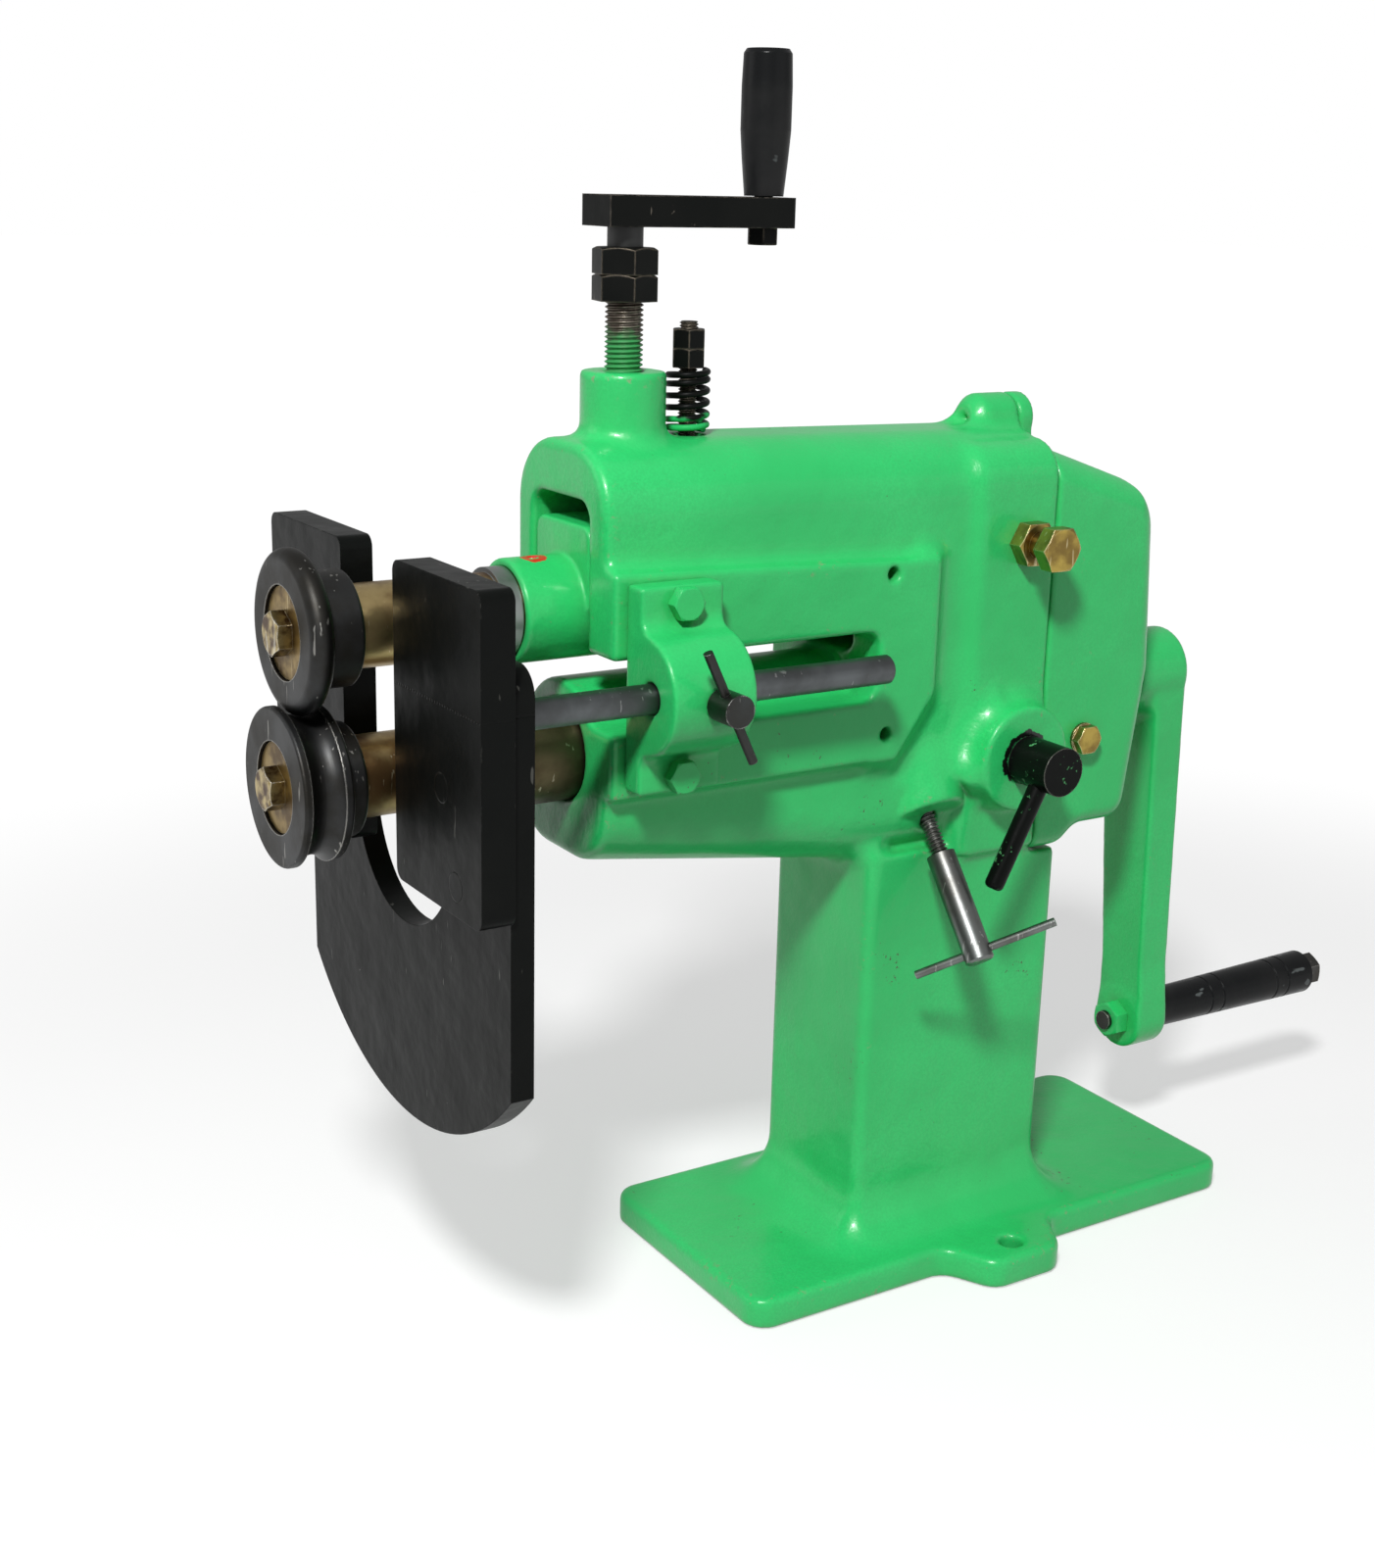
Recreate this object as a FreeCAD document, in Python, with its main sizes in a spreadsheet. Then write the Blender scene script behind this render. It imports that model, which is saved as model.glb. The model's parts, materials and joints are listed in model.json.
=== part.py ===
import FreeCAD, Part
import math
import os
import re
import Sketcher

# Hand cranked swaging machine, in millimetres.
# The origin is the middle of the base's underside, +X runs rearwards along the shafts and +Z is up.
# The rolls are at the front (-X), the drive crank at the rear (+X) and the work gauge's rod on the -Y side.

document = FreeCAD.newDocument("SwagingMachine")
sheet = document.addObject("Spreadsheet::Sheet", "Sizes")

given = {
    # base and column
    "baseLength": 296.0, "baseWidth": 131.4, "baseThickness": 15.0, "baseCorner": 12.0, "baseEdge": 3.0,
    "earCentre": -7.0, "earRootHalf": 33.0, "earTipHalf": 20.0, "earReach": 24.3, "earRound": 11.0,
    "earHoleRadius": 6.0, "earHoleSpacing": 152.0,
    "columnFront": -74.0, "columnRear": 39.0, "columnHalf": 38.0, "columnCorner": 5.0,
    "columnFlare": 26.0, "ledgeGap": 1.5,
    # shaft axes
    "lowerAxis": 269.0, "shaftCentres": 62.0,
    # head, housing and cover
    "headFront": -216.0, "headHalf": 38.5, "headTop": 400.0, "headTopFall": 3.0, "headTopBend": -138.0,
    "headTopRound": 28.0, "headBottomRound": 26.0,
    "headEdge": 4.0, "chinFront": 224.0, "housingBottom": 203.0,
    "housingFront": -30.0, "housingHalf": 42.0, "housingTop": 394.0, "housingRound": 18.0,
    "housingCorner": 10.0, "splitPlane": 20.0,
    "coverRear": 89.0, "coverBulge": 282.0, "coverTopLean": 6.0, "coverTopFront": 390.0,
    "coverTopRear": 368.0, "coverCorner": 28.0, "coverHeel": 79.0, "coverRise": 3.5,
    "coverStep": 49.0, "coverToe": 39.0, "coverToeDrop": 5.0, "heelRound": 12.0, "coverRim": 9.0,
    "coverSeam": 0.2,
    "lugAxis": 400.5, "lugRadius": 11.5, "lugFront": 1.0, "lugRear": 29.0, "lugNose": 5.0,
    "lugTipRadius": 7.5, "lugHoleRadius": 1.8,
    # side pad, throat slot and inner hollows
    "padReach": 46.0, "padBottom": 257.0, "padTopFront": 352.0, "padTopRear": 346.0, "padRear": -49.5,
    "padCutLength": 20.0, "padCutHeight": 28.0, "padHoleX": -75.0, "padHoleRadius": 3.3,
    "padHoleDepth": 15.0,
    "slotBottom": 285.0, "slotTop": 316.0, "slotRear": -81.0, "slotRound": 3.0, "ridgeRadius": 31.0,
    "cavityHalf": 24.0, "cavityBottom": 303.0, "crownThickness": 22.5, "cavityRear": -24.0,
    "cavityRound": 8.0, "chamberHalf": 33.0, "chamberBottom": 236.0, "chamberTop": 370.0,
    "gearRoomRadius": 36.5, "gearRoomRear": 66.0,
    # screw boss, pressing screw and its crank
    "screwX": -186.5, "bossRadius": 18.0, "bossRise": 27.4, "bossFootRadius": 21.0, "bossFootHeight": 4.0,
    "screwRadius": 8.0, "shankRadius": 7.4, "thrustPadHeight": 8.0, "nutWidth": 24.0, "nutHeight": 10.7,
    "nutGap": 27.9, "armHeight": 12.4, "armNeck": 8.1, "topArmWidth": 23.0, "topArmFrontReach": 13.7,
    "topArmRearReach": 10.0, "topCrankRadius": 67.0,
    "topArmRound": 3.0, "nutTurn": 17.0, "topPinRadius": 4.0, "topPinHeadWidth": 12.0,
    "topPinHeadHeight": 7.1, "topPinShort": 4.0, "topGripLength": 58.5, "topGripFootRadius": 8.3,
    "topGripNeckLevel": 14.6, "topGripNeckRadius": 9.7, "topGripBellyLevel": 26.3,
    "topGripBellyEnd": 43.9, "topGripBellyRadius": 10.6, "topGripShoulder": 56.7,
    "topGripTopRadius": 10.1, "topGripCrownRadius": 8.9, "topGripCap": 3.0, "gripPlay": 0.35,
    "thrustPadRadius": 7.0, "thrustPadFlat": 1.5, "thrustPadDome": 0.5, "thrustGap": 0.05,
    # lift stud and spring
    "studX": -155.0, "studRadius": 4.0, "studDepth": 12.0, "studHoleRadius": 6.0, "studHoleShift": 0.8,
    "studNutWidth": 13.0, "studNutHeight": 8.0, "studTip": 3.2,
    "wireRadius": 1.3, "coilRadius": 8.35, "closedPitch": 3.1, "openTurns": 3.5, "closedTurns": 1.25,
    "springLength": 27.6, "springSeatGap": 0.1,
    # upper barrel and its pivots
    "barrelRadius": 22.0, "noseFront": -242.0, "barrelRear": 14.0, "barrelBore": 16.5,
    "saddleFront": -208.0, "saddleRear": -142.0, "saddleHalf": 21.0, "saddleTop": 367.0,
    "saddleRound": 6.0, "blockFront": -14.0, "blockHalf": 26.0, "blockBottom": 309.0,
    "blockTop": 362.0, "pivotX": 3.0, "pivotHeight": 349.0, "pivotRadius": 6.0, "dogRadius": 5.0,
    "dogReach": 8.0, "dogShoulder": 0.6, "dogBottom": 0.5, "pivotHeadWidth": 19.0,
    "pivotHeadHeight": 8.0, "pivotHeadFace": 66.0,
    "locknutHeight": 8.0, "oilHoleX": -229.0, "oilHoleRadius": 2.0,
    # shafts, bushes, gears and rolls
    "journalRadius": 15.0, "bushWall": 3.0, "bushLength": 40.0, "rearQuillBush": 15.0,
    "spacerRadius": 17.0, "collarRadius": 19.0,
    "collarLength": 8.0, "endPlay": 0.3, "rollSeatRadius": 12.5, "rollShoulder": -313.0, "seatShort": 0.5,
    "upperRollFace": -338.5, "lowerRollFace": -343.5, "rollRecessRadius": 18.9, "washerRadius": 18.5,
    "washerThickness": 3.0, "washerInset": 1.5,
    "upperRimRadius": 33.0, "rimWidth": 10.0, "rimRound": 4.8, "hubRadius": 23.5, "hubEdge": 1.5,
    "lowerRimRadius": 32.5, "rearFlangeRadius": 31.8, "rearFlangeFace": -322.5, "flangeEdge": 1.2,
    "grooveRadius": 8.2, "grooveCentre": -333.0, "rollGap": 0.8,
    "rollBoltRadius": 5.0, "rollBoltLength": 24.0, "rollBoltWidth": 16.0, "rollBoltHead": 6.5,
    "gearTeeth": 16, "gearFront": 27.0, "gearWidth": 18.0, "gearAddendum": 2.8, "gearDedendum": 4.8,
    "gearBacklash": 1.3, "gearSeatRadius": 14.0, "gearHubRadius": 20.0, "gearNutRadius": 13.0,
    "gearNutWidth": 36.0, "gearNutHeight": 9.0, "gearThreadOver": 2.0, "pressureAngle": 20.0,
    "boreStock": 4.0,
    "keyWidth": 6.0, "keyHeight": 6.0, "keySink": 3.5, "keyPlay": 0.1, "rollKeyLength": 18.0,
    "keyInset": 2.0, "crankKeyInset": 4.0,
    # lower quill, eccentric and clamp screw
    "quillRadius": 22.0, "quillRear": 22.0, "eccentricX": 0.0, "eccentricDrop": 18.8,
    "eccentricBossRadius": 25.0, "eccentricBossFace": 55.0, "eccentricRadius": 9.5,
    "eccentricInner": 21.5, "eccentricThrow": 1.55, "eccentricPinRadius": 4.2, "pinOverrun": 8.0,
    "pinPlay": 0.12, "pinHeadroom": 0.8, "hubLeverRadius": 11.4, "hubLeverFace": 80.0, "hubGap": 0.3,
    "leverRadius": 4.5, "leverRoot": 4.0, "leverTipRound": 2.7, "leverLength": 61.0, "leverLean": 27.2,
    "leverReach": 69.0,
    "clampX": -41.5, "clampLean": 38.0, "lobeFootRadius": 27.0, "lobeTipRadius": 18.5, "lobeFoot": 24.0,
    "lobeTip": 57.5, "lobeTipRound": 6.0, "clampTipGap": 0.15, "clampRadius": 4.0,
    "clampGripStart": 77.0, "clampGripEnd": 130.0,
    "clampGripRadius": 6.75, "barRadius": 2.0, "clampBarLength": 68.0, "clampBarInset": 5.0,
    "clampBarTurn": -47.0, "clampBarShift": 4.0,
    # drive crank
    "coverBossRadius": 24.0, "coverBossRear": 100.0, "coverBushRadius": 16.0, "tailRadius": 12.0,
    "crankHubFront": 104.0, "crankHubRear": 135.0, "crankWebThickness": 19.5, "crankLean": 12.5,
    "crankHubRadius": 21.0, "crankNeckHalf": 20.0, "crankWaistHalf": 15.0, "crankWaistRise": 33.0,
    "crankFootRadius": 16.5,
    "crankDrop": 192.5, "crankFootBoss": 1.5, "gripBoltRadius": 5.0, "gripNutHeight": 8.0,
    "gripNutWidth": 17.0, "gripBoltOver": 2.0, "gripFront": 148.0, "gripRear": 267.0,
    "gripFrontRadius": 10.4, "gripRearRadius": 12.0, "gripHeadHeight": 8.0, "grooveDepth": 0.5,
    "grooveHalf": 0.8, "grooveInset": 20.0, "grooveSpacing": 9.0, "gripEndRound": 1.5,
    # cover fasteners and oil plug
    "coverBoltRadius": 3.0, "coverBoltHead": 4.0, "coverBoltWidth": 10.0, "coverBoltEnd": 6.0,
    "coverBoltSide": 27.0, "coverBoltHeight": 229.0, "coverBoltSeat": 78.0, "spotFaceRadius": 7.0,
    "plugX": 45.5, "plugHeight": 252.0, "plugRadius": 4.5, "plugDepth": 6.0, "plugHeadWidth": 13.0,
    "plugHeadHeight": 6.0, "plugFlangeRadius": 7.5, "plugFlange": 1.5, "bushInset": 1.0,
    # work gauge
    "gaugeRodAxis": 305.0, "gaugeRodReach": 66.0, "gaugeRodRadius": 6.25, "gaugeRodRear": -92.0,
    "rodEndBevel": 1.0, "gaugeTipGap": 0.1,
    "bracketX": -191.0, "bracketWidth": 39.0, "bracketHeight": 86.0, "bracketFlange": 12.0,
    "bulgeRadius": 25.0, "bulgeReach": 60.0, "bracketBoltSpacing": 72.0, "bracketBoltRadius": 4.0,
    "bracketBoltWidth": 13.0, "bracketBoltHead": 5.5, "bracketBoltDepth": 14.0,
    "boltEndGap": 1.0, "holePlay": 0.3,
    "gaugeScrewX": -190.0, "gaugeScrewRadius": 4.0, "gaugeHeadRadius": 6.75, "gaugeHeadLength": 13.8,
    "gaugeHeadGap": 1.2, "gaugeBarLength": 52.0, "gaugeBarLean": 26.0,
    "facePlateFront": -302.8, "facePlateThickness": 14.0, "facePlateInner": 25.2, "facePlateWidth": 75.5,
    "facePlateBottom": 233.0, "facePlateTop": 362.0, "facePlateCorner": 5.0,
    "backPlateThickness": 10.0, "backPlateHalf": 97.0, "backPlateTop": 331.0, "backPlateLow": 117.0,
    "backPlateSag": 43.0, "backPlateCorner": 12.0, "mouthRadius": 47.0, "mouthCentre": 251.0,
    "spigotRadius": 4.0, "plateScrewRadius": 3.0, "plateScrewHead": 6.0,
    "plateScrewSink": 3.2, "plateScrewLength": 22.0, "highScrewReach": 66.7, "highScrewHeight": 281.0,
    "lowScrewReach": 78.7, "lowScrewHeight": 245.0,
    # fits, and how far pieces are rooted and tools run past a surface
    "runningFit": 0.05, "threadFit": 0.05, "hexFaceShare": 0.49, "rootDepth": 5.0, "over": 1.0,
}

derived = {
    "halfLength": "=baseLength / 2",
    "halfWidth": "=baseWidth / 2",
    "upperAxis": "=lowerAxis + shaftCentres",
    "headTopRear": "=headTop - headTopFall",
    "cavityTop": "=headTop - crownThickness",
    "bossTop": "=headTop + bossRise",
    "nutBottom": "=bossTop + nutGap",
    "screwEnd": "=saddleTop + thrustPadHeight",
    "screwTopEnd": "=nutBottom + 2 * nutHeight + armNeck",
    "coverBottom": "=housingBottom + coverRise",
    "coverFoot": "=housingBottom - coverToeDrop",
    "eccentricHeight": "=lowerAxis - eccentricDrop",
    "springBottom": "=headTop + springSeatGap",
    "springTop": "=springBottom + springLength",
    "stackTop": "=springTop + springSeatGap + 2 * studNutHeight",
    "bushRadius": "=journalRadius + bushWall",
    "backPlateFront": "=facePlateFront + facePlateThickness",
    "backPlateRear": "=backPlateFront + backPlateThickness",
    "backPlateRadius": "=(backPlateHalf ^ 2 + backPlateSag ^ 2) / (2 * backPlateSag)",
    "pinHeight": "=eccentricHeight - eccentricThrow",
    "gripAxis": "=lowerAxis - crankDrop",
    "gearRear": "=gearFront + gearWidth",
    "upperWasherFace": "=upperRollFace + washerInset",
    "lowerWasherFace": "=lowerRollFace + washerInset",
    "bracketFace": "=padReach + bracketFlange",
    "crankFootRear": "=crankHubRear + crankLean",
    "crankFootFront": "=crankFootRear - crankWebThickness - crankFootBoss",
    "bulgeTip": "=bulgeReach + bulgeRadius",
}

for row, (alias, content) in enumerate({**given, **derived}.items(), start=1):
    sheet.set("A%d" % row, alias)
    sheet.set("B%d" % row, str(content))
    sheet.setAlias("B%d" % row, alias)
document.recompute()

aliasPattern = re.compile(r"\b(%s)\b" % "|".join(sorted({**given, **derived}, key=len, reverse=True)))

upright = FreeCAD.Rotation()
upsideDown = FreeCAD.Rotation(FreeCAD.Vector(1, 0, 0), 180)
toRear = FreeCAD.Rotation(FreeCAD.Vector(0, 1, 0), 90)
toFront = FreeCAD.Rotation(FreeCAD.Vector(0, 1, 0), -90)
toNear = FreeCAD.Rotation(FreeCAD.Vector(1, 0, 0), 90)
toFar = FreeCAD.Rotation(FreeCAD.Vector(1, 0, 0), -90)

# A sketch's corners start on a circle, and edges are picked within these distances.
startRadius = 50.0
tolerance = 0.01
margin = 0.5

nodes = []


def tie(formula):
    # A formula in plain aliases becomes an expression on the sheet.
    return aliasPattern.sub(r"Sizes.\1", str(formula))


def size(alias):
    return float(sheet.get(alias))


def bind(feature, **formulas):
    for name, formula in formulas.items():
        feature.setExpression(name, tie(formula))
    return feature


def place(feature, x="0", y="0", z="0", turn=upright):
    feature.Placement = FreeCAD.Placement(FreeCAD.Vector(), turn)
    for axis, formula in (("x", x), ("y", y), ("z", z)):
        if formula != "0":
            feature.setExpression("Placement.Base." + axis, tie(formula))
    return feature


def rod(label, radius, length, x="0", y="0", z="0", turn=upright):
    cylinder = document.addObject("Part::Cylinder", label)
    bind(cylinder, Radius=radius, Height=length)
    return place(cylinder, x, y, z, turn)


def taper(label, radius, tipRadius, length, x="0", y="0", z="0", turn=upright):
    cone = document.addObject("Part::Cone", label)
    bind(cone, Radius1=radius, Radius2=tipRadius, Height=length)
    return place(cone, x, y, z, turn)


def block(label, x, y, z, length, width, height):
    box = document.addObject("Part::Box", label)
    bind(box, Length=length, Width=width, Height=height)
    return place(box, x, y, z)


def hexagon(label, across, height, x, y, z, turn):
    # A hexagon with its far face bevelled, as turned bolt heads and nuts have.
    prism = document.addObject("Part::Prism", label + "Prism")
    prism.Polygon = 6
    bind(prism, Circumradius="(%s) / sqrt(3)" % across, Height=height)
    place(prism, x, y, z, turn)
    bevel = taper(label + "Bevel", "(%s) / 2 + 2 * (%s)" % (across, height),
                  "(%s) * hexFaceShare" % across, height, x, y, z, turn)
    return common(label, prism, bevel)


def join(label, parts):
    fusion = document.addObject("Part::MultiFuse", label)
    fusion.Shapes = parts
    return fusion


def cut(label, base, tools):
    difference = document.addObject("Part::Cut", label)
    difference.Base = base
    difference.Tool = tools[0] if len(tools) == 1 else join(label + "Tools", tools)
    return difference


def common(label, first, second):
    overlap = document.addObject("Part::Common", label)
    overlap.Base = first
    overlap.Tool = second
    return overlap


def group(label, parts):
    compound = document.addObject("Part::Compound", label)
    compound.Links = parts
    return compound


def outline(body, label, plane, corners, offset=None):
    # A closed sketch of straight runs, each corner held by its two distances from the origin.
    sketch = body.newObject("Sketcher::SketchObject", label)
    support = [feature for feature in body.Origin.OriginFeatures if feature.Role == plane][0]
    sketch.AttachmentSupport = (support, [""])
    sketch.MapMode = "FlatFace"
    if offset is not None:
        sketch.setExpression("AttachmentOffset.Base.z", tie(offset))
    count = len(corners)
    turns = [2 * math.pi * index / count for index in range(count)]
    start = [FreeCAD.Vector(startRadius * math.cos(turn), startRadius * math.sin(turn), 0) for turn in turns]
    sketch.addGeometry([Part.LineSegment(start[index], start[(index + 1) % count])
                        for index in range(count)])
    rules = [Sketcher.Constraint("Coincident", index, 2, (index + 1) % count, 1)
             for index in range(count)]
    for index, point in enumerate(start):
        rules.append(Sketcher.Constraint("DistanceX", -1, 1, index, 1, point.x))
        rules.append(Sketcher.Constraint("DistanceY", -1, 1, index, 1, point.y))
    sketch.addConstraint(rules)
    for index, (across, along) in enumerate(corners):
        sketch.setExpression("Constraints[%d]" % (count + 2 * index), tie(across))
        sketch.setExpression("Constraints[%d]" % (count + 2 * index + 1), tie(along))
    return sketch


def newBody(label):
    return document.addObject("PartDesign::Body", label)


def pad(body, label, sketch, length, symmetric=False):
    feature = body.newObject("PartDesign::Pad", label)
    feature.Profile = sketch
    feature.SideType = "Symmetric" if symmetric else "One side"
    feature.setExpression("Length", tie(length))
    body.Tip = feature
    return feature


def turned(label, corners, x="0", y="0", z="0", turn=upright):
    # A piece turned about its own X axis, from half of its outline.
    body = newBody(label)
    sketch = outline(body, label + "Profile", "XZ_Plane", corners)
    feature = body.newObject("PartDesign::Revolution", label + "Turning")
    feature.Profile = sketch
    feature.ReferenceAxis = (sketch, ["H_Axis"])
    feature.Angle = 360
    body.Tip = feature
    place(body, x, y, z, turn)
    return body


def rounded(body, label, radius, chosen):
    # Rounds the edges of the body's last feature that the rule chooses.
    document.recompute()
    base = body.Tip
    names = ["Edge%d" % number for number, edge in enumerate(base.Shape.Edges, start=1) if chosen(edge)]
    feature = body.newObject("PartDesign::Fillet", label)
    feature.Base = (base, names)
    feature.setExpression("Radius", tie(radius))
    body.Tip = feature
    return feature


def near(first, second):
    return abs(first - second) < tolerance


def runsAlong(edge, axis):
    box = edge.BoundBox
    spans = {"x": box.XLength, "y": box.YLength, "z": box.ZLength}
    others = [span for name, span in spans.items() if name != axis]
    return spans[axis] > tolerance and max(others) < tolerance


def keep(feature, label):
    feature.Label = label
    nodes.append(feature)
    return feature


def baseAndColumn():
    body = newBody("baseAndColumn")
    left, right = "earCentre - ", "earCentre + "
    sideEars = []
    for side in ("-", ""):
        root = "%shalfWidth" % side
        tip = "%s(halfWidth + earReach)" % side
        ear = [(left + "earRootHalf", root), (left + "earTipHalf", tip), (right + "earTipHalf", tip),
               (right + "earRootHalf", root)]
        sideEars.append(ear)
    corners = [("-halfLength", "-halfWidth")] + sideEars[0] + [("halfLength", "-halfWidth"),
               ("halfLength", "halfWidth")] + sideEars[1][::-1] + [("-halfLength", "halfWidth")]
    pad(body, "baseSlab", outline(body, "basePlan", "XY_Plane", corners), "baseThickness")
    rounded(body, "baseCorners", "baseCorner",
            lambda edge: runsAlong(edge, "z") and near(abs(edge.CenterOfMass.x), size("halfLength")))
    rounded(body, "earCorners", "earRound",
            lambda edge: runsAlong(edge, "z") and abs(edge.CenterOfMass.x) < size("halfLength") / 2)
    front, rear = "columnFront", "columnRear"
    plan = [(front, "-columnHalf"), (rear, "-columnHalf"), (rear, "columnHalf"), (front, "columnHalf")]
    pad(body, "column", outline(body, "columnPlan", "XY_Plane", plan), "housingBottom + rootDepth")
    top = size("baseThickness")
    rounded(body, "columnCorners", "columnCorner",
            lambda edge: runsAlong(edge, "z") and edge.CenterOfMass.z > top)
    reach = max(abs(size("columnFront")), size("columnRear"), size("columnHalf")) + tolerance
    rounded(body, "columnFlare", "columnFlare", lambda edge: near(edge.BoundBox.ZMin, top)
            and near(edge.BoundBox.ZMax, top) and abs(edge.CenterOfMass.x) < reach
            and abs(edge.CenterOfMass.y) < size("columnHalf") + tolerance)
    rounded(body, "baseRim", "baseEdge",
            lambda edge: near(edge.BoundBox.ZMin, top) and near(edge.BoundBox.ZMax, top)
            and (abs(edge.CenterOfMass.x) > size("halfLength") - size("baseCorner")
                 or abs(edge.CenterOfMass.y) > size("halfWidth") - margin))
    return body


def headBody():
    body = newBody("head")
    side = [("headFront", "chinFront"), ("columnFront", "housingBottom"), ("splitPlane", "housingBottom"),
            ("splitPlane", "headTopRear"), ("headTopBend", "headTop"), ("headFront", "headTop")]
    pad(body, "headBlock", outline(body, "headSide", "XZ_Plane", side), "2 * headHalf", True)
    rounded(body, "headCrown", "headTopRound", lambda edge: near(edge.BoundBox.YLength, 0)
            and edge.BoundBox.XLength > margin and edge.CenterOfMass.z > size("upperAxis")
            and near(abs(edge.CenterOfMass.y), size("headHalf")))
    rounded(body, "headKeel", "headBottomRound", lambda edge: near(edge.BoundBox.YLength, 0)
            and edge.BoundBox.XLength > margin and edge.CenterOfMass.z < size("lowerAxis")
            and near(abs(edge.CenterOfMass.y), size("headHalf")))
    rounded(body, "headFrontEdge", "headEdge", lambda edge: near(edge.BoundBox.XMin, size("headFront"))
            and near(edge.BoundBox.XMax, size("headFront")))
    return body


def housingBody():
    body = newBody("housing")
    side = [("housingFront", "housingBottom"), ("splitPlane", "housingBottom"),
            ("splitPlane", "housingTop"), ("housingFront", "housingTop")]
    pad(body, "housingBlock", outline(body, "housingSide", "XZ_Plane", side), "2 * housingHalf", True)
    rounded(body, "housingCrown", "housingRound",
            lambda edge: runsAlong(edge, "x") and near(edge.CenterOfMass.z, size("housingTop")))
    rounded(body, "housingFrontEdge", "housingCorner",
            lambda edge: near(edge.BoundBox.XMin, size("housingFront"))
            and near(edge.BoundBox.XMax, size("housingFront"))
            and edge.BoundBox.ZMax > size("slotBottom"))
    return body


def padBody():
    body = newBody("sidePad")
    side = [("headFront", "padBottom"), ("padRear - padCutLength", "padBottom"),
            ("padRear", "padBottom + padCutHeight"), ("padRear", "padTopRear"),
            ("headFront", "padTopFront")]
    sketch = outline(body, "padSide", "XZ_Plane", side, "headHalf - rootDepth")
    pad(body, "padPlate", sketch, "padReach - headHalf + rootDepth")
    return body


def clampPoint(distance, first=upright):
    # A point on the clamp screw's axis, at a distance from the lower shaft's axis.
    return {"x": "clampX", "y": "-(%s) * sin(clampLean)" % distance,
            "z": "lowerAxis - (%s) * cos(clampLean)" % distance,
            "turn": FreeCAD.Rotation(FreeCAD.Vector(1, 0, 0), 180 - size("clampLean")).multiply(first)}


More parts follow.
